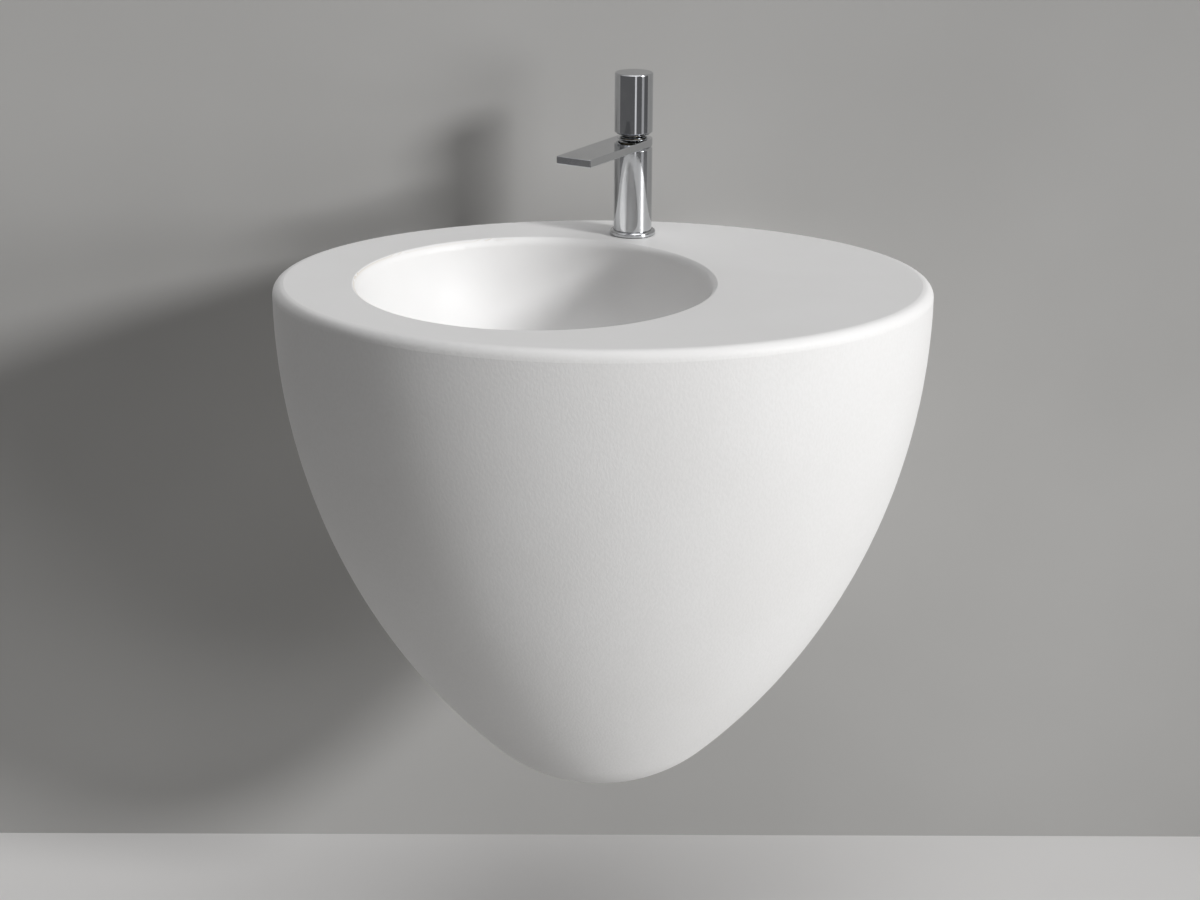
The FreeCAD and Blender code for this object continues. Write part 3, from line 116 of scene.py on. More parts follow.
def axes(tree, vector):  # x, y and z of a vector
    made = tree.nodes.new("ShaderNodeSeparateXYZ")
    tree.links.new(vector, made.inputs[0])
    return made.outputs[0], made.outputs[1], made.outputs[2]


def grain(tree, spot, scale, detail=2.0, roughness=0.5):  # cloudy noise about 0.5
    made = tree.nodes.new("ShaderNodeTexNoise")
    tree.links.new(spot, made.inputs["Vector"])
    made.inputs["Scale"].default_value = scale
    made.inputs["Detail"].default_value = detail
    made.inputs["Roughness"].default_value = roughness
    return made.outputs["Fac"]


def cells(tree, spot, scale):  # distance to the nearest of scattered points
    made = tree.nodes.new("ShaderNodeTexVoronoi")
    tree.links.new(spot, made.inputs["Vector"])
    made.inputs["Scale"].default_value = scale
    return made.outputs["Distance"]


def tone(tree, share, first, second):  # colour between two tones
    made = tree.nodes.new("ShaderNodeMix")
    made.data_type = "RGBA"
    for index, value in ((0, share), (6, first), (7, second)):  # its factor and its two colours
        wire(tree, made.inputs[index], value)
    return made.outputs[2]


def relief(tree, height, depth, under=None):  # a bump whose full height is depth metres
    made = tree.nodes.new("ShaderNodeBump")
    made.inputs["Strength"].default_value = 1.0
    made.inputs["Distance"].default_value = depth
    wire(tree, made.inputs["Height"], height)
    if under is not None:
        tree.links.new(under, made.inputs["Normal"])
    return made.outputs["Normal"]


def looksAway(tree, spot, middle):  # the dot product of the normal and the way from the middle
    facing = tree.nodes.new("ShaderNodeNewGeometry")
    fromMiddle = tree.nodes.new("ShaderNodeVectorMath")
    fromMiddle.operation = "SUBTRACT"
    fromMiddle.inputs[1].default_value = middle
    tree.links.new(spot, fromMiddle.inputs[0])
    made = tree.nodes.new("ShaderNodeVectorMath")
    made.operation = "DOT_PRODUCT"
    tree.links.new(fromMiddle.outputs[0], made.inputs[0])
    tree.links.new(facing.outputs["True Normal"], made.inputs[1])
    return made.outputs["Value"]


# Vitreous china: a leathery matt skin outside with painted shade in its hollows, a smoother deck
# and bowl, and raw clay inside and on the faces that meet the wall.

china = {
    "white": (0.872, 0.867, 0.862, 1), "soft": (0.848, 0.841, 0.834, 1),
    "clouds": 7, "cloudRange": (0.35, 0.68), "cloudShare": 0.8,
    "hollow": (0.74, 0.735, 0.72, 1), "hollowShare": 0.16,  # painted shade between the skin's ridges
    "raw": (0.76, 0.72, 0.65, 1), "rawDark": (0.68, 0.63, 0.55, 1), "rawClouds": 60,
    "gritScale": 900, "gritDepth": 0.0004, "rawRoughness": 0.35,  # on top of the glaze's roughness
    "middle": (0.0, -0.28, -0.06), "outsideBlend": 0.004,  # a point in the vessel's hollow
    "wallFade": (-0.0006, -0.002),  # y where the glaze starts in front of the wall
    "bowlCentre": (-0.0670, -0.3120), "bowlReach": 0.1795, "bowlBlend": 0.004,
    "bowlFloor": (-0.066, -0.058), "rimTop": 0.095, "rimFade": (0.003, 0.010),
    "skinPitch": 0.0025, "skinStretch": (1, 1, 0.62), "skinTurn": (0.35, 0.35, 0),
    "ridgeRange": (0.30, 0.70), "finePitch": 0.0011, "streakStretch": (1, 1, 0.25), "streaks": 90,
    "ridgeShare": 0.62, "fineShare": 0.20, "streakShare": 0.18,
    "skinDepth": 0.000072, "deckShare": 0.20,
    "sideRoughness": 0.58, "deckRoughness": 0.50, "bowlRoughness": 0.50, "roughnessDrift": 0.10,
    "ior": 1.5,
}


def makeChina(card):
    made, tree, shader = newFinish("mattChina")
    spot = place(tree)
    x, y, z = axes(tree, spot)
    centreX, centreY = card["bowlCentre"]
    reach, rim = card["bowlReach"], card["rimTop"]
    fromBowl = span(tree, less(tree, x, centreX), less(tree, y, centreY))
    inBowl = times(tree, ease(tree, fromBowl, reach, reach - card["bowlBlend"]),
                   ease(tree, z, *card["bowlFloor"]))
    onSide = ease(tree, z, rim - card["rimFade"][0], rim - card["rimFade"][1])
    blend = card["outsideBlend"]
    outside = ease(tree, looksAway(tree, spot, card["middle"]), -blend, blend)
    glazed = larger(tree, inBowl, times(tree, outside, ease(tree, y, *card["wallFade"])))
    notBowl, notGlazed = less(tree, 1.0, inBowl), less(tree, 1.0, glazed)

    leather = place(tree, card["skinStretch"], card["skinTurn"])
    ridges = ease(tree, grain(tree, leather, 1 / card["skinPitch"], 1.5), *card["ridgeRange"])
    fine = grain(tree, spot, 1 / card["finePitch"], 2.0, 0.6)
    streaks = grain(tree, place(tree, card["streakStretch"]), card["streaks"])
    height = plus(tree, times(tree, ridges, card["ridgeShare"]),
                  plus(tree, times(tree, fine, card["fineShare"]),
                       times(tree, streaks, card["streakShare"])))
    deck = card["deckShare"]
    skinShare = times(tree, plus(tree, deck, times(tree, onSide, 1 - deck)), notBowl)
    skin = relief(tree, times(tree, height, skinShare), card["skinDepth"])
    grit = times(tree, grain(tree, spot, card["gritScale"], 3.0, 0.7), notGlazed)
    tree.links.new(relief(tree, grit, card["gritDepth"], skin), shader.inputs["Normal"])

    clouds = ease(tree, grain(tree, spot, card["clouds"], 3.0), *card["cloudRange"])
    white = tone(tree, times(tree, clouds, card["cloudShare"]), card["white"], card["soft"])
    # painted shade: the skin's hollows between its ridges are darkened
    hollows = times(tree, less(tree, 1.0, ridges), skinShare)
    white = tone(tree, times(tree, hollows, card["hollowShare"]), white, card["hollow"])
    clay = tone(tree, grain(tree, spot, card["rawClouds"], 4.0, 0.7), card["raw"], card["rawDark"])
    tree.links.new(tone(tree, glazed, clay, white), shader.inputs["Base Color"])

    deckLevel = card["deckRoughness"]
    level = plus(tree, deckLevel, times(tree, onSide, card["sideRoughness"] - deckLevel))
    level = plus(tree, times(tree, level, notBowl), times(tree, inBowl, card["bowlRoughness"]))
    level = plus(tree, level, times(tree, less(tree, fine, 0.5), card["roughnessDrift"]))
    level = plus(tree, level, times(tree, notGlazed, card["rawRoughness"]))
    tree.links.new(level, shader.inputs["Roughness"])
    shader.inputs["IOR"].default_value = card["ior"]
    return made


# The other finishes share one recipe: two tones in clouds, and a fine grain that lifts the surface
# and the roughness. Some add hairline scratches along one axis, turning marks along z, dull specks.

finishes = {
    "chrome": {"first": (0.56, 0.57, 0.585, 1), "second": (0.61, 0.62, 0.63, 1), "metal": 1.0,
               "clouds": 14, "grain": 260, "roughness": (0.035, 0.085), "depth": 0.0000012,
               "scratch": 0.0000012, "stretch": (60, 60, 900), "smudge": 0.05, "edge": 0.0006},
    "brass": {"first": (0.66, 0.50, 0.24, 1), "second": (0.74, 0.59, 0.33, 1), "metal": 1.0,
              "clouds": 45, "grain": 900, "roughness": (0.24, 0.40), "depth": 0.000004,
              "turning": 0.00045, "turningDepth": 0.000010, "smudge": 0.10},
    "steel": {"first": (0.60, 0.62, 0.65, 1), "second": (0.70, 0.69, 0.64, 1), "metal": 1.0,
              "clouds": 70, "grain": 1100, "roughness": (0.28, 0.46), "depth": 0.000010,
              "smudge": 0.12},
    "stainless": {"first": (0.66, 0.66, 0.65, 1), "second": (0.73, 0.73, 0.72, 1), "metal": 1.0,
                  "clouds": 60, "grain": 800, "roughness": (0.20, 0.34), "depth": 0.000004,
                  "scratch": 0.000005, "stretch": (900, 900, 60), "smudge": 0.08},
    "rubber": {"first": (0.022, 0.022, 0.023, 1), "second": (0.045, 0.044, 0.043, 1), "metal": 0.0,
               "clouds": 80, "grain": 1500, "roughness": (0.62, 0.80), "depth": 0.000035,
               "specks": 700},
    "white_rubber": {"first": (0.76, 0.76, 0.74, 1), "second": (0.70, 0.70, 0.67, 1), "metal": 0.0,
                     "clouds": 70, "grain": 1300, "roughness": (0.48, 0.62), "depth": 0.00002,
                     "specks": 600},
    "nylon": {"first": (0.80, 0.79, 0.75, 1), "second": (0.74, 0.73, 0.68, 1), "metal": 0.0,
              "clouds": 60, "grain": 800, "roughness": (0.38, 0.52), "depth": 0.00002,
              "specks": 420},
    "cartridge_plastic": {"first": (0.29, 0.30, 0.32, 1), "second": (0.37, 0.38, 0.40, 1),
                          "metal": 0.0, "clouds": 120, "grain": 1500, "roughness": (0.42, 0.58),
                          "depth": 0.00002, "specks": 900},
    "aerator_plastic": {"first": (0.76, 0.77, 0.78, 1), "second": (0.68, 0.69, 0.70, 1),
                        "metal": 0.0, "clouds": 150, "grain": 1400, "roughness": (0.32, 0.46),
                        "depth": 0.000012, "specks": 1100},
    "ceramic_disc": {"first": (0.86, 0.85, 0.82, 1), "second": (0.80, 0.78, 0.74, 1), "metal": 0.0,
                     "clouds": 160, "grain": 2200, "roughness": (0.12, 0.26), "depth": 0.000003,
                     "scratch": 0.000002, "stretch": (1200, 200, 200), "specks": 1500},
    "trap_plastic": {"first": (0.83, 0.83, 0.82, 1), "second": (0.78, 0.78, 0.765, 1), "metal": 0.0,
                     "clouds": 24, "grain": 620, "roughness": (0.27, 0.40), "depth": 0.000025,
                     "specks": 300},
}

recipe = {"cloudRange": (0.34, 0.66), "speckRange": (0.30, 0.16), "speckShade": 0.86,
          "speckShare": 0.6, "roughRange": (0.36, 0.64), "smudges": 38, "smudgeRange": (0.54, 0.72),
          "scratchRange": (0.35, 0.65), "edgeSamples": 4}


def makeFinish(name, card):
    made, tree, shader = newFinish(name)
    spot = place(tree)
    clouds = grain(tree, spot, card["clouds"], 3.0, 0.55)
    fine = grain(tree, spot, card["grain"], 2.0, 0.6)
    colour = tone(tree, ease(tree, clouds, *recipe["cloudRange"]), card["first"], card["second"])
    if "specks" in card:  # moulded grains a little darker than the rest
        dots = ease(tree, cells(tree, spot, card["specks"]), *recipe["speckRange"])
        dull = tuple(recipe["speckShade"] * part for part in card["second"][:3]) + (1,)
        colour = tone(tree, times(tree, dots, recipe["speckShare"]), colour, dull)
    tree.links.new(colour, shader.inputs["Base Color"])
    mixed = plus(tree, times(tree, fine, 0.5), times(tree, clouds, 0.5))
    level = ease(tree, mixed, *recipe["roughRange"], *card["roughness"])
    if "smudge" in card:  # finger marks and dried water
        marks = grain(tree, spot, recipe["smudges"], 4.0, 0.65)
        level = plus(tree, level, ease(tree, marks, *recipe["smudgeRange"], 0.0, card["smudge"]))
    tree.links.new(level, shader.inputs["Roughness"])
    edge = None
    if "edge" in card:  # edges catch light as if they were rounded this much
        worn = tree.nodes.new("ShaderNodeBevel")
        worn.samples = recipe["edgeSamples"]
        worn.inputs["Radius"].default_value = card["edge"]
        edge = worn.outputs["Normal"]
    normal = relief(tree, fine, card["depth"], edge)
    if "scratch" in card:
        lines = grain(tree, place(tree, card["stretch"]), 1.0, 3.0, 0.7)
        normal = relief(tree, ease(tree, lines, *recipe["scratchRange"]), card["scratch"], normal)
    if "turning" in card:  # the lathe's fine groove, a wave along z
        turns = times(tree, axes(tree, spot)[2], 2 * math.pi / card["turning"])
        wave = reckon(tree, "MULTIPLY_ADD", reckon(tree, "SINE", turns), 0.5, 0.5)
        normal = relief(tree, wave, card["turningDepth"], normal)
    tree.links.new(normal, shader.inputs["Normal"])
    shader.inputs["Metallic"].default_value = card["metal"]
    return made


finishOf = {"ceramic": makeChina(china)}
for slotName, slotCard in finishes.items():
    finishName = slotName.replace("_", " ").title().replace(" ", "")
    finishOf[slotName] = makeFinish(finishName, slotCard)
slotOf = {}
for nodeName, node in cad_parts.items():
    slotOf[nodeName] = node.material_slots[0].material.name.split(".")[0]
    node.material_slots[0].material = finishOf[slotOf[nodeName]]
print("finishes made:", len(finishOf))


# Surface helpers. A patch is a grid of points, a direction for each point, and whether the grid
# closes round.

grid = {"mergeSteps": 1e7, "roundingStep": 0.16, "still": 1e-9, "flat": 1e-14, "sameRadius": 1e-7}


def gridPiece(name, patches):
    # Quads run along both ways of every grid; points that coincide are made one, and quads that
    # shrink to a line are dropped. Each corner keeps its own direction, so edges stay crisp.
    spots, looks, quads, start = [], [], [], 0
    for points, directions, closed in patches:
        rows, columns = points.shape[:2]
        index = np.arange(rows * columns).reshape(rows, columns) + start
        if closed:
            index = np.hstack([index, index[:, :1]])
        corners = [index[:-1, :-1], index[:-1, 1:], index[1:, 1:], index[1:, :-1]]
        quads.append(np.stack(corners, -1).reshape(-1, 4))
        spots.append(points.reshape(-1, 3))
        looks.append(directions.reshape(-1, 3))
        start += rows * columns
    spots, looks, quads = np.vstack(spots), np.vstack(looks), np.vstack(quads)
    rounded = np.round(spots * grid["mergeSteps"]).astype(np.int64)
    whole, same = np.unique(rounded, axis=0, return_inverse=True)
    same = same.reshape(-1)
    firsts = np.zeros(len(whole), int)
    firsts[same[::-1]] = np.arange(len(same))[::-1]
    corners = same[quads]
    keep = np.stack([corners[:, k] != corners[:, k - 1] for k in range(4)], -1)
    good = keep.sum(1) >= 3
    good &= (corners[:, 0] != corners[:, 2]) & (corners[:, 1] != corners[:, 3])
    corners, quads, keep = corners[good], quads[good], keep[good]
    counts, loops = keep.sum(1), corners[keep]
    mesh = bpy.data.meshes.new(name)
    mesh.vertices.add(len(whole))
    mesh.vertices.foreach_set("co", spots[firsts].astype(np.float32).ravel())
    mesh.loops.add(len(loops))
    mesh.loops.foreach_set("vertex_index", loops.astype(np.int32))
    mesh.polygons.add(len(counts))
    mesh.polygons.foreach_set("loop_start", (np.cumsum(counts) - counts).astype(np.int32))
    mesh.polygons.foreach_set("use_smooth", np.ones(len(counts), bool))
    mesh.update(calc_edges=True)
    mesh.normals_split_custom_set(looks[quads[keep]])
    piece = bpy.data.objects.new(name, mesh)
    bpy.context.scene.collection.objects.link(piece)
    return piece


def finishPiece(piece, body, node):  # the piece takes the place and the slot of its CAD node
    piece.data.materials.append(finishOf[slotOf[node]])
    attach(piece, body)
    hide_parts(node)
    return piece


def section(corners, closed=True):
    # A half section from corners (radius, height[, rounding]): a rounding of radius r at a corner
    # with half angle a starts r / tan(a) before it and sweeps about the point r from both sides.
    # Each sample is (radius, height, radial look, upward look); a sharp corner gives two samples.
    corners = [tuple(c) + (0,) * (3 - len(c)) for c in corners]
    spots = np.array([c[:2] for c in corners], float)
    ahead = np.roll(spots, -1, 0) - spots
    ahead /= np.linalg.norm(ahead, axis=1)[:, None]
    looks = np.stack([ahead[:, 1], -ahead[:, 0]], -1)
    samples = []
    for k, (spot, bend) in enumerate(zip(spots, [c[2] for c in corners])):
        before, after = looks[k - 1], looks[k]
        if not closed and k in (0, len(spots) - 1):
            samples.append([*spot, *(after if k == 0 else before)])
            continue
        if not bend:
            samples += [[*spot, *before], [*spot, *after]]
            continue
        turn = math.atan2(before[0] * after[1] - before[1] * after[0], before @ after)
        side = bend * (1 if turn > 0 else -1)
        middle = spot - (before + after) / (1 + before @ after) * side
        steps = np.linspace(0, 1, max(3, int(abs(turn) / grid["roundingStep"])))[:, None]
        angle = math.atan2(before[1], before[0]) + steps * turn
        look = np.hstack([np.cos(angle), np.sin(angle)])
        samples += np.hstack([middle + look * side, look]).tolist()
    if closed:
        samples.append(samples[0])
    return np.array(samples)


def addRows(shape, radius, low, high, count):  # more samples on a section's upright side
    h = np.linspace(low, high, count)[:, None]
    rows = np.hstack([radius + 0 * h, h, 1 + 0 * h, 0 * h])
    onSide = shape[:, 0] > radius - grid["sameRadius"]
    at = np.flatnonzero(onSide & (shape[:, 1] < (low + high) / 2))[-1] + 1
    return np.vstack([shape[:at], rows, shape[at:]])


def turnedPatch(samples, steps, centre=(0, 0, 0), ripple=None):
    # x = r cos t, y = r sin t, z = height, all about a centre. A ripple takes r, height and t and
    # gives a new r.
    t = np.linspace(0, 2 * math.pi, steps, endpoint=False)[None, :]
    r, h, out, up = [samples[:, k:k + 1] for k in range(4)]
    radius = r + 0 * t if ripple is None else ripple(r, h, t)
    points = np.stack([radius * np.cos(t), radius * np.sin(t), h + 0 * t], -1) + np.array(centre)
    directions = np.stack([out * np.cos(t), out * np.sin(t), up + 0 * t], -1)
    return points, directions, True


def steepen(points, directions, closed):
    # Directions of a rippled grid that closes round, from the cross product of its two slopes,
    # turned to the side that the plain directions look to. Flat spots keep their plain direction,
    # and where two rows coincide, at a sharp corner, each takes the slope of its own side.
    step = np.diff(points, axis=0)
    ahead, behind = np.concatenate([step, step[-1:]]), np.concatenate([step[:1], step])
    still = [np.linalg.norm(side, axis=-1, keepdims=True) < grid["still"]
             for side in (ahead, behind)]
    along = np.where(still[0], behind, np.where(still[1], ahead, ahead + behind))
    around = (np.roll(points, -1, 1) - np.roll(points, 1, 1)) / 2
    cross = np.cross(along, around)
    size = np.linalg.norm(cross, axis=-1, keepdims=True)
    cross = np.where(size > grid["flat"], cross / np.maximum(size, grid["flat"]), directions)
    flip = np.sign((cross * directions).sum(-1, keepdims=True))
    return points, np.where(flip == 0, directions, cross * flip), closed


def laid(patch, matrix, shift):  # a patch turned by a 3 x 3 matrix and moved
    points, directions, closed = patch
    turn = np.array(matrix, float).T
    return points @ turn + np.array(shift), directions @ turn, closed


upright = np.eye(3)
upsideDown = np.diag([1.0, -1.0, -1.0])
awayFromWall = ((1, 0, 0), (0, 0, -1), (0, 1, 0))  # the top of a turned piece comes along -Y

threadForm = {"rowsPerTurn": 6, "leastRows": 8, "steps": 20, "flat": 0.125}


def threadPatches(radius, depth, pitch, low, high, chamfer=0.001, centre=(0, 0, 0)):
    # A screw thread: r = radius - depth w, where w is a triangle wave of height / pitch - t / 2 pi,
    # cut flat at crest and root, and near both ends r also stays inside a 45 degree chamfer.
    steps, flat = threadForm["steps"], threadForm["flat"]
    rows = max(int((high - low) / pitch * threadForm["rowsPerTurn"]), threadForm["leastRows"])
    h = np.linspace(low, high, rows)[:, None]
    t = np.linspace(0, 2 * math.pi, steps, endpoint=False)[None, :]
    phase = (h / pitch - t / (2 * math.pi)) % 1.0
    wave = np.clip(np.abs(2 * phase - 1) * (1 + 2 * flat) - flat, 0, 1)
    ends = np.minimum(h - low, high - h)
    r = np.minimum(radius - depth * wave, radius - chamfer + np.clip(ends, 0, chamfer))
    points = np.stack([r * np.cos(t), r * np.sin(t), h + 0 * t], -1)
    out = np.stack([np.cos(t) + 0 * h, np.sin(t) + 0 * h, 0 * (h + t)], -1)
    points, directions, closed = steepen(points, out, True)
    patches = [(points + np.array(centre), directions, closed)]
    for rim, up in ((points[:1], -1.0), (points[-1:], 1.0)):  # a flat cap at each end
        hub = np.zeros_like(rim) + [0, 0, rim[0, 0, 2]]
        pair = np.vstack([hub, rim] if up < 0 else [rim, hub])
        patches.append((pair + np.array(centre), np.zeros((2, steps, 3)) + [0, 0, up], True))
    return patches


nutForm = {"sides": 6, "foot": 0.985, "cone": math.radians(30)}  # foot: share of half the flats


def nutPatch(flats, bore, low, high, cut=0.0006, step=6, firstCorner=0.0):
    # A nut: its side is the polygon r = flats / 2 / cos(t from the middle of the flat), cut by a
    # 30 degree cone at both ends: z = end - (r - foot) tan 30. A small chamfer opens the bore.
    sides = nutForm["sides"]
    half = math.pi / sides
    along = np.linspace(-half, half, step + 1)
    middles = firstCorner + half + np.arange(sides)[:, None] * 2 * half
    t = (middles + along[None, :]).reshape(-1)
    side = (middles + 0 * along[None, :]).reshape(-1)
    reach = flats / 2 / np.cos(t - side)
    foot = flats / 2 * nutForm["foot"]
    drop = np.clip(reach - foot, 0, None) * math.tan(nutForm["cone"])
    ring = np.stack([np.cos(t), np.sin(t)], -1)
    face = np.stack([np.cos(side), np.sin(side), 0 * t], -1)

    def row(radius, height):
        heights = np.reshape(height + 0 * t, (-1, 1))
        return np.concatenate([ring * np.reshape(radius, (-1, 1)), heights], 1)

    def look(out, up):
        return np.concatenate([ring * out, np.full((len(t), 1), up)], 1)

    slopeOut, slopeUp = math.sin(nutForm["cone"]), math.cos(nutForm["cone"])
    level = math.sqrt(0.5)
    rows = [
        (row(bore, low + cut), look(-1, 0)),
        (row(bore, high - cut), look(-1, 0)),
        (row(bore, high - cut), look(-level, level)),
        (row(bore + cut, high), look(-level, level)),
        (row(bore + cut, high), look(0, 1)),
        (row(foot, high), look(0, 1)),
        (row(foot, high), look(slopeOut, slopeUp)),
        (row(reach, high - drop), look(slopeOut, slopeUp)),
        (row(reach, high - drop), face),
        (row(reach, low + drop), face),
        (row(reach, low + drop), look(slopeOut, -slopeUp)),
        (row(foot, low), look(slopeOut, -slopeUp)),
        (row(foot, low), look(0, -1)),
        (row(bore + cut, low), look(0, -1)),
        (row(bore + cut, low), look(-level, -level)),
        (row(bore, low + cut), look(-level, -level)),
    ]
    points, directions = [np.stack(part)[::-1] for part in zip(*rows)]
    return points, directions, True


# Wall fixings: hanger bolts with a machine thread in front and a coarse thread in the wall, their
# washers, and chamfered nuts.

wallFixing = {
    "spacing": 0.280, "radius": 0.00498, "depth": 0.0008, "pitch": 0.0015,
    "front": (-0.0005, 0.036), "wallRadius": 0.0046, "wallDepth": 0.0011, "wallPitch": 0.0032,
    "wall": (-0.065, 0.0005), "wallChamfer": 0.0022,
    "flats": 0.017, "bore": 0.00505, "nut": (0.021, 0.029),
    "washer": (0.0053, 0.011, 0.019, 0.021), "washerEdge": 0.0004, "washerSteps": 48,
}


def makeWallFixings(card):
    inner, outer, low, high = card["washer"]
    edge = card["washerEdge"]
    disc = section([(inner, low), (outer, low, edge), (outer, high, edge), (inner, high)])
    bolts, nuts, washers = [], [], []
    for side in (-1, 1):
        shift = (side * card["spacing"] / 2, 0, 0)
        front = threadPatches(card["radius"], card["depth"], card["pitch"], *card["front"])
        coarse = threadPatches(card["wallRadius"], card["wallDepth"], card["wallPitch"],
                               *card["wall"], chamfer=card["wallChamfer"])
        bolts += [laid(patch, awayFromWall, shift) for patch in front + coarse]
        nut = nutPatch(card["flats"], card["bore"], *card["nut"])
        nuts.append(laid(nut, awayFromWall, shift))
        washers.append(laid(turnedPatch(disc, card["washerSteps"]), awayFromWall, shift))
    finishPiece(gridPiece("wallBoltThreads", bolts), "basin", "wall_bolts")
    finishPiece(gridPiece("wallNutsCut", nuts), "basin", "wall_nuts")
    finishPiece(gridPiece("wallWashersCut", washers), "basin", "wall_washers")


makeWallFixings(wallFixing)
print("wall fixings made")


# Fixing of the tap: a threaded stud and its long nut.

tapFixing = {"spot": (0.036635, -0.108285, 0), "radius": 0.00398, "depth": 0.00065,
             "pitch": 0.00125, "stud": (0.033, 0.1123), "flats": 0.013, "bore": 0.00405,
             "nut": (0.0595, 0.0755), "turn": math.radians(-31)}


def makeTapFixing(card):
    stud = threadPatches(card["radius"], card["depth"], card["pitch"], *card["stud"],
                         centre=card["spot"])
    finishPiece(gridPiece("studThread", stud), "basin", "fixing_stud")
    nut = nutPatch(card["flats"], card["bore"], *card["nut"], firstCorner=card["turn"])
    nut = laid(nut, upright, card["spot"])
    finishPiece(gridPiece("studNutCut", [nut]), "basin", "stud_nut")


makeTapFixing(tapFixing)
print("tap fixing made")


# Aerator: a ring, a back plate and a honeycomb of small six-sided tubes.

aerator = {"spot": (-0.02156, -0.20515, 0), "radius": 0.00955, "foot": 0.1889, "top": 0.1907,
           "ring": 0.0083, "edge": 0.0002, "plate": 0.0004, "cell": 0.0019, "wall": 0.00021,
           "gap": 0.00001, "recess": 0.0001, "turn": math.radians(-31),
           "ringSteps": 96, "plateSteps": 48}


def makeAerator(card):
    # Cell centres are the triangular lattice a (p + q / 2, q sin 60) inside the ring; a cell's wall
    # is the band between two hexagons, carried from the foot to the plate.
    centre, foot, top, rim = card["spot"], card["foot"], card["top"], card["ring"]
    inside = top - card["plate"]
    ring = section([(rim, foot), (card["radius"], foot, card["edge"]), (card["radius"], top),
                    (rim, top)])
    plate = section([(0, inside), (rim, inside), (rim, top), (0, top)], False)
    patches = [turnedPatch(ring, card["ringSteps"], centre),
               turnedPatch(plate, card["plateSteps"], centre)]
    cell, turn, sixth = card["cell"], card["turn"], math.pi / 3
    many = int(rim / cell) + 2
    counts = np.arange(-many, many + 1)
    p, q = [part.ravel() for part in np.meshgrid(counts, counts)]
    spots = cell * np.stack([p + q / 2, q * math.sin(sixth)], -1)
    spots = spots[np.linalg.norm(spots, axis=1) < rim - cell / 2 / math.cos(sixth / 2)]
    spots = spots @ np.array([[math.cos(turn), math.sin(turn)], [-math.sin(turn), math.cos(turn)]])
    outer = (cell / 2 - card["gap"]) / math.cos(sixth / 2)
    inner = outer - card["wall"]
    low = foot + card["recess"]
    tube = section([(inner, low), (outer, low), (outer, inside), (inner, inside)])
    r, h, out, up = tube.T[..., None]
    corner = turn + sixth / 2 + np.arange(7) * sixth
    for spot in spots:
        for start, stop in zip(corner[:-1], corner[1:]):
            t, middle = np.array([start, stop])[None, :], (start + stop) / 2
            points = np.stack([r * np.cos(t), r * np.sin(t), h + 0 * t], -1)
            looks = np.stack([out * math.cos(middle) + 0 * t, out * math.sin(middle) + 0 * t,
                              up + 0 * t], -1)
            patches.append((points + np.array([*spot, 0]) + np.array(centre), looks, False))
    finishPiece(gridPiece("honeycomb", patches), "basin", "aerator_insert")


makeAerator(aerator)
print("aerator made")


# Drain: the plug's cap, its spring and the big nut under the bowl.

drainSpot = (-0.067013, -0.31201, 0)  # the drain's and the trap's axis

plugCap = {"radius": 0.031, "under": -0.04115, "rim": -0.03915, "top": -0.03565,
           "bossRadius": 0.007, "bossFoot": -0.04415, "stemHole": 0.00405,
           "bossEdge": 0.0004, "lowerEdge": 0.0005, "upperEdge": 0.0008, "crown": 4.3, "steps": 160}

plugSpring = {"radius": 0.005, "wire": 0.0005, "low": -0.0934, "high": -0.0658, "turns": 7.6,
              "endTurns": 1.15, "closedShare": 0.75, "closedPitch": 2.06, "openClimb": 0.045,
              "samples": 340, "sides": 12, "tip": 1e-5, "anchor": -0.0939, "keep": 0.72}

backnut = {"flats": 0.058, "bore": 0.02095, "low": -0.08095, "high": -0.07195, "cut": 0.0008,
           "step": 10}


def makePlugCap(card):
    under, rim, top, wide = card["under"], card["rim"], card["top"], card["radius"]
    shape = section([(0, under), (card["stemHole"], under), (card["stemHole"], card["bossFoot"]),
                     (card["bossRadius"], card["bossFoot"], card["bossEdge"]),
                     (card["bossRadius"], under), (wide, under, card["lowerEdge"]),
                     (wide, rim, card["upperEdge"]), (wide / 2, top, wide * card["crown"]),
                     (0, top)], False)
    cap = turnedPatch(shape, card["steps"], drainSpot)
    finishPiece(gridPiece("plugCapTurned", [cap]), "plug", "plug_cap")


def makePlugSpring(card):
    # The wire's middle runs at r = R, angle 2 pi n u, and climbs slowly at both ends, so that the
    # end turns lie closed, and evenly between; round it a circle of the wire's radius, shut at
    # both ends.
    u = np.linspace(0, 1, card["samples"])
    ends = card["endTurns"] / card["turns"]
    free = np.clip(np.minimum(u, 1 - u) / ends - card["closedShare"], 0, 1)
    closed = card["closedPitch"] * card["wire"] * card["turns"]
    climb = closed + free * free * (3 - 2 * free) * card["openClimb"]
    rise = np.concatenate([[0], np.cumsum((climb[1:] + climb[:-1]) / 2)])
    z = card["low"] + (card["high"] - card["low"]) * rise / rise[-1]
    angle = 2 * math.pi * card["turns"] * u
    out = np.stack([np.cos(angle), np.sin(angle), 0 * angle], -1)
    middle = np.concatenate([card["radius"] * out[:, :2], z[:, None]], 1)
    along = np.gradient(middle, axis=0)
    along /= np.linalg.norm(along, axis=1, keepdims=True)
    side = np.cross(along, out)
    tip = card["tip"]
    middle[0], middle[-1] = middle[1] - along[1] * tip, middle[-2] + along[-2] * tip
    taper = np.ones((len(u), 1))
    taper[[0, -1]] = 0
    t = np.linspace(0, 2 * math.pi, card["sides"], endpoint=False)
    look = out[:, None] * np.cos(t)[None, :, None] + side[:, None] * np.sin(t)[None, :, None]
    points = middle[:, None] + look * (card["wire"] - tip) * taper[:, None]
    look[0], look[-1] = -along[0], along[-1]
    coil = laid((points, look, True), upright, drainSpot)
    spring = finishPiece(gridPiece("plugSpringWire", [coil]), "basin", "plug_spring")
    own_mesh(spring)


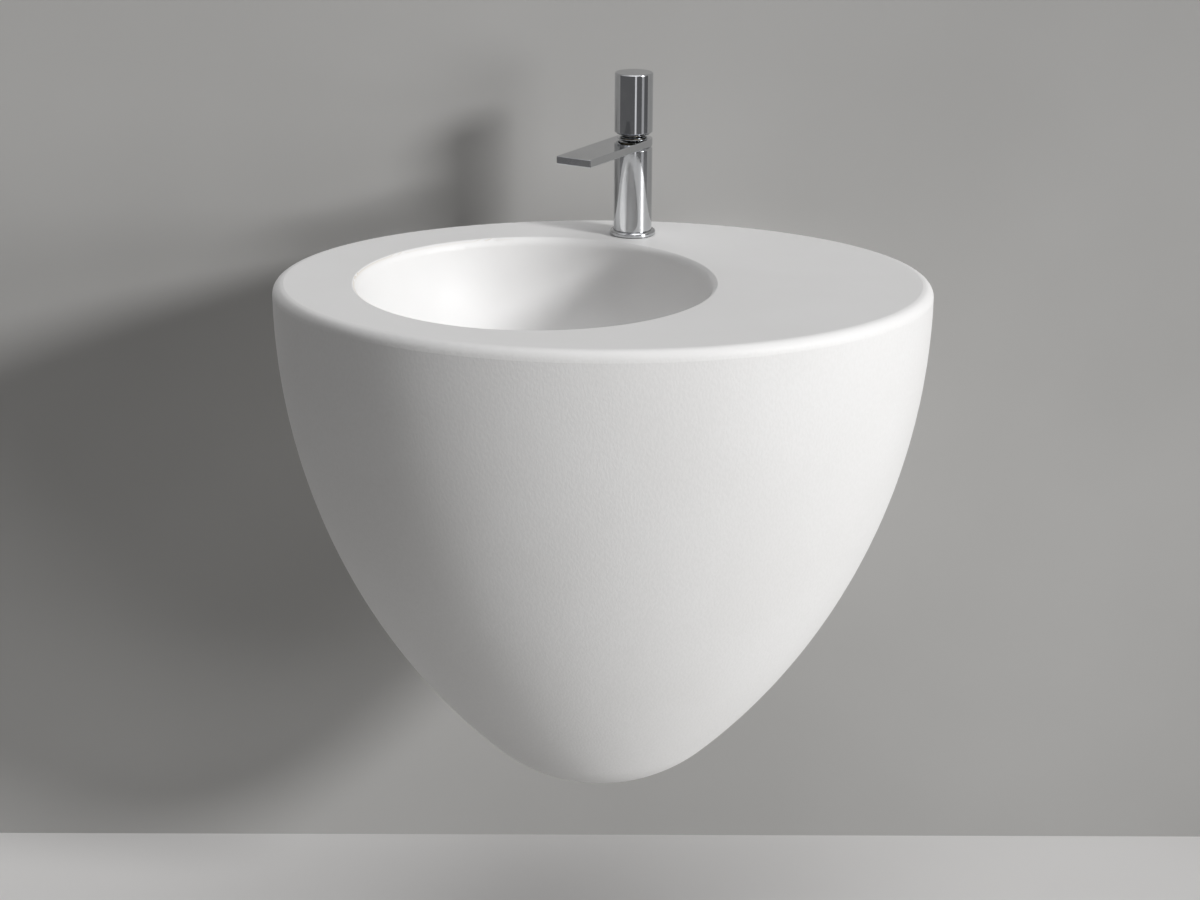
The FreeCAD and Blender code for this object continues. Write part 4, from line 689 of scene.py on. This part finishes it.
def makeBacknut(card):
    nut = nutPatch(card["flats"], card["bore"], card["low"], card["high"], card["cut"],
                   card["step"])
    nut = laid(nut, upright, drainSpot)
    finishPiece(gridPiece("backnutCut", [nut]), "basin", "waste_backnut")


makePlugCap(plugCap)
makePlugSpring(plugSpring)
makeBacknut(backnut)
print("drain made")


# Bottle trap: hand nuts with grips on their eight sides, and the cup with a ribbed collar.

handNut = {"flats": 0.052, "sides": 8, "cornerCut": 0.985, "pipeBore": 0.0163, "lip": 0.003,
           "boreEdge": 0.0005, "lipEdge": 0.0016, "openEdge": 0.0012, "threadEdge": 0.0004,
           "flutes": 24, "fluteDepth": 0.0008, "flutePower": 1.5, "fadeLength": 0.0020,
           "fadeStart": 0.6, "gripStart": 0.001, "rows": 12, "rowsFrom": 0.0024, "rowsTo": 0.0020,
           "steps": 288}

handNuts = (  # name, node, bore, height or y of the lip and of the open end, how it lies
    ("inletHandNut", "trap_inlet_nut", 0.02095, (-0.11195, -0.09395), upright),
    ("neckHandNut", "trap_neck_nut", 0.02055, (-0.13245, -0.14995), upsideDown),
    ("outletHandNut", "trap_outlet_nut", 0.02055, (-0.25251, -0.27001), awayFromWall),
)

outletLevel = -0.17595  # height of the outlet's axis

trapCup = {"foot": -0.26645, "top": -0.19995, "step": -0.21645, "collarFoot": -0.21905,
           "radius": 0.033, "inner": 0.0306, "round": 0.014, "floor": 0.0026,
           "collarRadius": 0.036, "collarInner": 0.03305, "neckEdge": 0.0006,
           "collarEdge": 0.0008, "mouthEdge": 0.0003, "ribs": 40, "ribDepth": 0.0009,
           "ribPower": 1.6, "fadeLength": 0.0016, "fadeStart": 0.4, "ribStart": 0.0010,
           "rows": 16, "rowsFrom": 0.0012, "steps": 400}


def handNutPatch(card, bore, length):  # lip at height 0
    # The side's radius is the octagon flats / 2 / cos u with its corners cut a little, less a
    # flute that follows ((1 - cos 24 (t - half)) / 2) to a power and fades out near both ends.
    half = math.pi / card["sides"]
    corner = card["flats"] / 2 / math.cos(half)
    shape = section([(card["pipeBore"], 0, card["boreEdge"]), (corner, 0, card["lipEdge"]),
                     (corner, length, card["openEdge"]), (bore, length, card["threadEdge"]),
                     (bore, card["lip"]), (card["pipeBore"], card["lip"])])
    shape = addRows(shape, corner, card["rowsFrom"], length - card["rowsTo"], card["rows"])

    def grip(r, h, t):
        u = (t % (2 * half)) - half
        eight = np.minimum(card["flats"] / 2 / np.cos(u), corner * card["cornerCut"])
        fromEnd = np.minimum(h, length - h) / card["fadeLength"]
        wave = (0.5 - 0.5 * np.cos(card["flutes"] * (t - half))) ** card["flutePower"]
        flute = card["fluteDepth"] * wave * np.clip(fromEnd - card["fadeStart"], 0, 1)
        start = card["gripStart"]
        share = np.clip((r - bore - start) / (corner - bore - start), 0, 1)
        return np.where(r > bore + start, r + share * (eight - flute - corner), r)

    return steepen(*turnedPatch(shape, card["steps"], ripple=grip))


def cupPatch(card):
    foot, top, collarFoot = card["foot"], card["top"], card["collarFoot"]
    collar, inside = card["collarRadius"], card["foot"] + card["floor"]
    shape = section([(0, foot), (card["radius"], foot, card["round"]),
                     (card["radius"], collarFoot, card["neckEdge"]),
                     (collar, collarFoot, card["collarEdge"]), (collar, top, card["collarEdge"]),
                     (card["collarInner"], top, card["mouthEdge"]),
                     (card["collarInner"], card["step"]), (card["inner"], card["step"]),
                     (card["inner"], inside, card["round"] - card["floor"]), (0, inside)], False)
    shape = addRows(shape, collar, collarFoot + card["rowsFrom"], top - card["rowsFrom"],
                    card["rows"])

    def ribs(r, h, t):  # r less a rounded groove between every two ribs, gone at the collar's ends
        fromEnd = np.minimum(h - collarFoot, top - h) / card["fadeLength"]
        wave = (0.5 + 0.5 * np.cos(card["ribs"] * t)) ** card["ribPower"]
        groove = card["ribDepth"] * wave * np.clip(fromEnd - card["fadeStart"], 0, 1)
        return np.where(r > collar - card["ribStart"], r - groove, r)

    return steepen(*turnedPatch(shape, card["steps"], ripple=ribs))


def makeTrap():
    x, y, _ = drainSpot
    for name, node, bore, (lip, end), lay in handNuts:
        spot = (x, lip, outletLevel) if lay is awayFromWall else (x, y, lip)
        nut = laid(handNutPatch(handNut, bore, abs(end - lip)), lay, spot)
        finishPiece(gridPiece(name, [nut]), "basin", node)
    cup = laid(cupPatch(trapCup), upright, drainSpot)
    finishPiece(gridPiece("trapCupRibbed", [cup]), "basin", "trap_cup")


makeTrap()
print("trap made")


# Studio: a pale floor that fades into the air, a plain wall, and four soft lamps that are the same
# everywhere: a tall key from the right in two halves, one overhead, and one from behind.

studio = {
    "floorLevel": -0.665, "reach": 6.0, "floorFade": (2.2, 4.6), "wallHeight": 3.2,
    "wallBehind": 0.0004,
    "floorTones": ((0.70, 0.69, 0.68, 1), (0.74, 0.73, 0.72, 1)),
    "floorBounce": (0.53, 0.525, 0.515, 1),
    "wallTones": ((0.44, 0.435, 0.425, 1), (0.48, 0.475, 0.465, 1)),
    "drift": 1.6, "driftRange": (0.3, 0.7), "roughness": 0.9, "specular": 0.2,
    "air": (0.985, 0.98, 1.0, 1), "sky": 0.07, "seenSky": 0.80,
    "lamps": {  # name: the way it comes from, softness in degrees, strength
        "keyLamp": ((0.790, -0.500, 0.355), 10, 2.03),
        "lowLamp": ((0.810, -0.585, 0.030), 20, 0.85),
        "topLamp": ((0.10, -0.12, 0.99), 50, 1.00),
        "backLamp": ((-0.35, 0.86, 0.38), 40, 0.40)},
    "lampDistance": 3,
}

# What polished metal sees besides: a dim room, a pale ceiling from one height of view to another,
# and upright bright strips, each given by its direction round z from straight ahead of the basin,
# its half width and its brightness. Degrees.
mirrored = {"room": 0.13, "ceiling": (0.30, 0.60), "ceilingLevel": 0.85, "edge": 1.5,
            "strips": ((11, 5, 0.95), (56, 8, 0.50), (-96, 5, 0.60))}


def makeSheet(name, corners, tones, bounce=None, fade=None):  # flat, its tone drifts a little
    mesh = bpy.data.meshes.new(name)
    mesh.from_pydata(corners, [], [(0, 1, 2, 3)])
    sheet = bpy.data.objects.new(name, mesh)
    bpy.context.scene.collection.objects.link(sheet)
    made, tree, shader = newFinish(name)
    spot = place(tree)
    drift = ease(tree, grain(tree, spot, studio["drift"], 3.0), *studio["driftRange"])
    colour = tone(tree, drift, *tones)
    if bounce:  # pale to the camera, to metal and to glass, dimmer in what it throws back
        path = tree.nodes.new("ShaderNodeLightPath").outputs
        seen = larger(tree, path["Is Camera Ray"], path["Is Glossy Ray"])
        seen = larger(tree, seen, path["Is Transmission Ray"])
        colour = tone(tree, seen, bounce, colour)
    tree.links.new(colour, shader.inputs["Base Color"])
    shader.inputs["Roughness"].default_value = studio["roughness"]
    shader.inputs["Specular IOR Level"].default_value = studio["specular"]
    gone = tree.nodes.new("ShaderNodeNewGeometry").outputs["Backfacing"]  # from behind it's clear
    if fade:
        x, y, _ = axes(tree, spot)
        gone = larger(tree, gone, ease(tree, span(tree, x, y), *fade))
    clear = tree.nodes.new("ShaderNodeBsdfTransparent")
    mixed = tree.nodes.new("ShaderNodeMixShader")
    end = [n for n in tree.nodes if n.type == "OUTPUT_MATERIAL"][0]
    tree.links.new(gone, mixed.inputs[0])
    tree.links.new(shader.outputs["BSDF"], mixed.inputs[1])
    tree.links.new(clear.outputs[0], mixed.inputs[2])
    tree.links.new(mixed.outputs[0], end.inputs["Surface"])
    mesh.materials.append(made)
    return sheet


def softLamp(name, way, softness, strength):  # light along one direction, from a patch that wide
    lamp = bpy.data.lights.new(name, "SUN")
    lamp.angle, lamp.energy = math.radians(softness), strength
    holder = bpy.data.objects.new(name, lamp)
    bpy.context.scene.collection.objects.link(holder)
    holder.location = np.array(way) * studio["lampDistance"]
    holder.rotation_mode = "QUATERNION"
    holder.rotation_quaternion = Vector(way).to_track_quat("Z", "Y")


def seenRoom(tree, card):  # brightness by direction, for polished metal
    way = tree.nodes.new("ShaderNodeTexCoord")  # in the world this is the direction looked in
    x, y, z = axes(tree, way.outputs["Generated"])
    bright = ease(tree, z, *card["ceiling"], card["room"], card["ceilingLevel"])
    bearing = reckon(tree, "ARCTAN2", x, times(tree, y, -1.0))
    for middle, half, level in card["strips"]:
        off = reckon(tree, "ABSOLUTE", less(tree, bearing, math.radians(middle)))
        inner, outer = math.radians(half - card["edge"]), math.radians(half + card["edge"])
        bright = larger(tree, bright, ease(tree, off, outer, inner, 0.0, level))
    return bright


def makeStudio(card):
    far, level, back = card["reach"], card["floorLevel"], card["wallBehind"]
    top = level + card["wallHeight"]
    floor = [(-far, -far, level), (far, -far, level), (far, far, level), (-far, far, level)]
    makeSheet("paleFloor", floor, card["floorTones"], card["floorBounce"], card["floorFade"])
    backing = [(-far, back, level), (far, back, level), (far, back, top), (-far, back, top)]
    wall = makeSheet("plainWall", backing, card["wallTones"])
    wall.visible_diffuse = False  # it takes the shadow and shades nothing
    wall.visible_shadow = False
    for name, lamp in card["lamps"].items():
        softLamp(name, *lamp)
    world = bpy.data.worlds.new("studioAir")
    bpy.context.scene.world = world
    world.use_nodes = True
    tree = world.node_tree
    tree.nodes.clear()
    path = tree.nodes.new("ShaderNodeLightPath").outputs
    air = tree.nodes.new("ShaderNodeBackground")
    air.inputs["Color"].default_value = card["air"]
    sky = card["sky"]
    seen = larger(tree, path["Is Camera Ray"], path["Is Transmission Ray"])
    strength = reckon(tree, "MULTIPLY_ADD", seen, card["seenSky"] - sky, sky)
    room = times(tree, less(tree, seenRoom(tree, mirrored), sky), path["Is Glossy Ray"])
    tree.links.new(plus(tree, strength, room), air.inputs["Strength"])
    end = tree.nodes.new("ShaderNodeOutputWorld")
    tree.links.new(air.outputs[0], end.inputs["Surface"])


makeStudio(studio)
print("studio made")


# Camera: fitted to the photograph's rim, bowl, tap and tip. Angles in radians, lens in millimetres.

cameraCard = {"spot": (-0.02005, -2.8353, 0.76105), "pitch": 0.3218, "yaw": 0.0071, "roll": 0.0063,
              "lens": 79.5, "sensor": 36.0, "near": 0.05, "far": 60.0}


def makeCamera(card):
    down, aside, roll = card["pitch"], card["yaw"], card["roll"]
    ahead = np.array([math.sin(aside) * math.cos(down), math.cos(aside) * math.cos(down),
                      -math.sin(down)])
    right = np.array([math.cos(aside), -math.sin(aside), 0.0])
    upward = np.cross(right, ahead)
    right, upward = (math.cos(roll) * right + math.sin(roll) * upward,
                     -math.sin(roll) * right + math.cos(roll) * upward)
    lens = bpy.data.cameras.new("photoCamera")
    lens.sensor_width, lens.lens = card["sensor"], card["lens"]
    lens.clip_start, lens.clip_end = card["near"], card["far"]
    camera = bpy.data.objects.new("photoCamera", lens)
    bpy.context.scene.collection.objects.link(camera)
    turn = Matrix(np.stack([right, upward, -ahead], 1).tolist()).to_4x4()
    camera.matrix_world = Matrix.Translation(card["spot"]) @ turn
    bpy.context.scene.camera = camera


makeCamera(cameraCard)
bpy.context.scene.view_settings.view_transform = "Standard"
print("camera set")
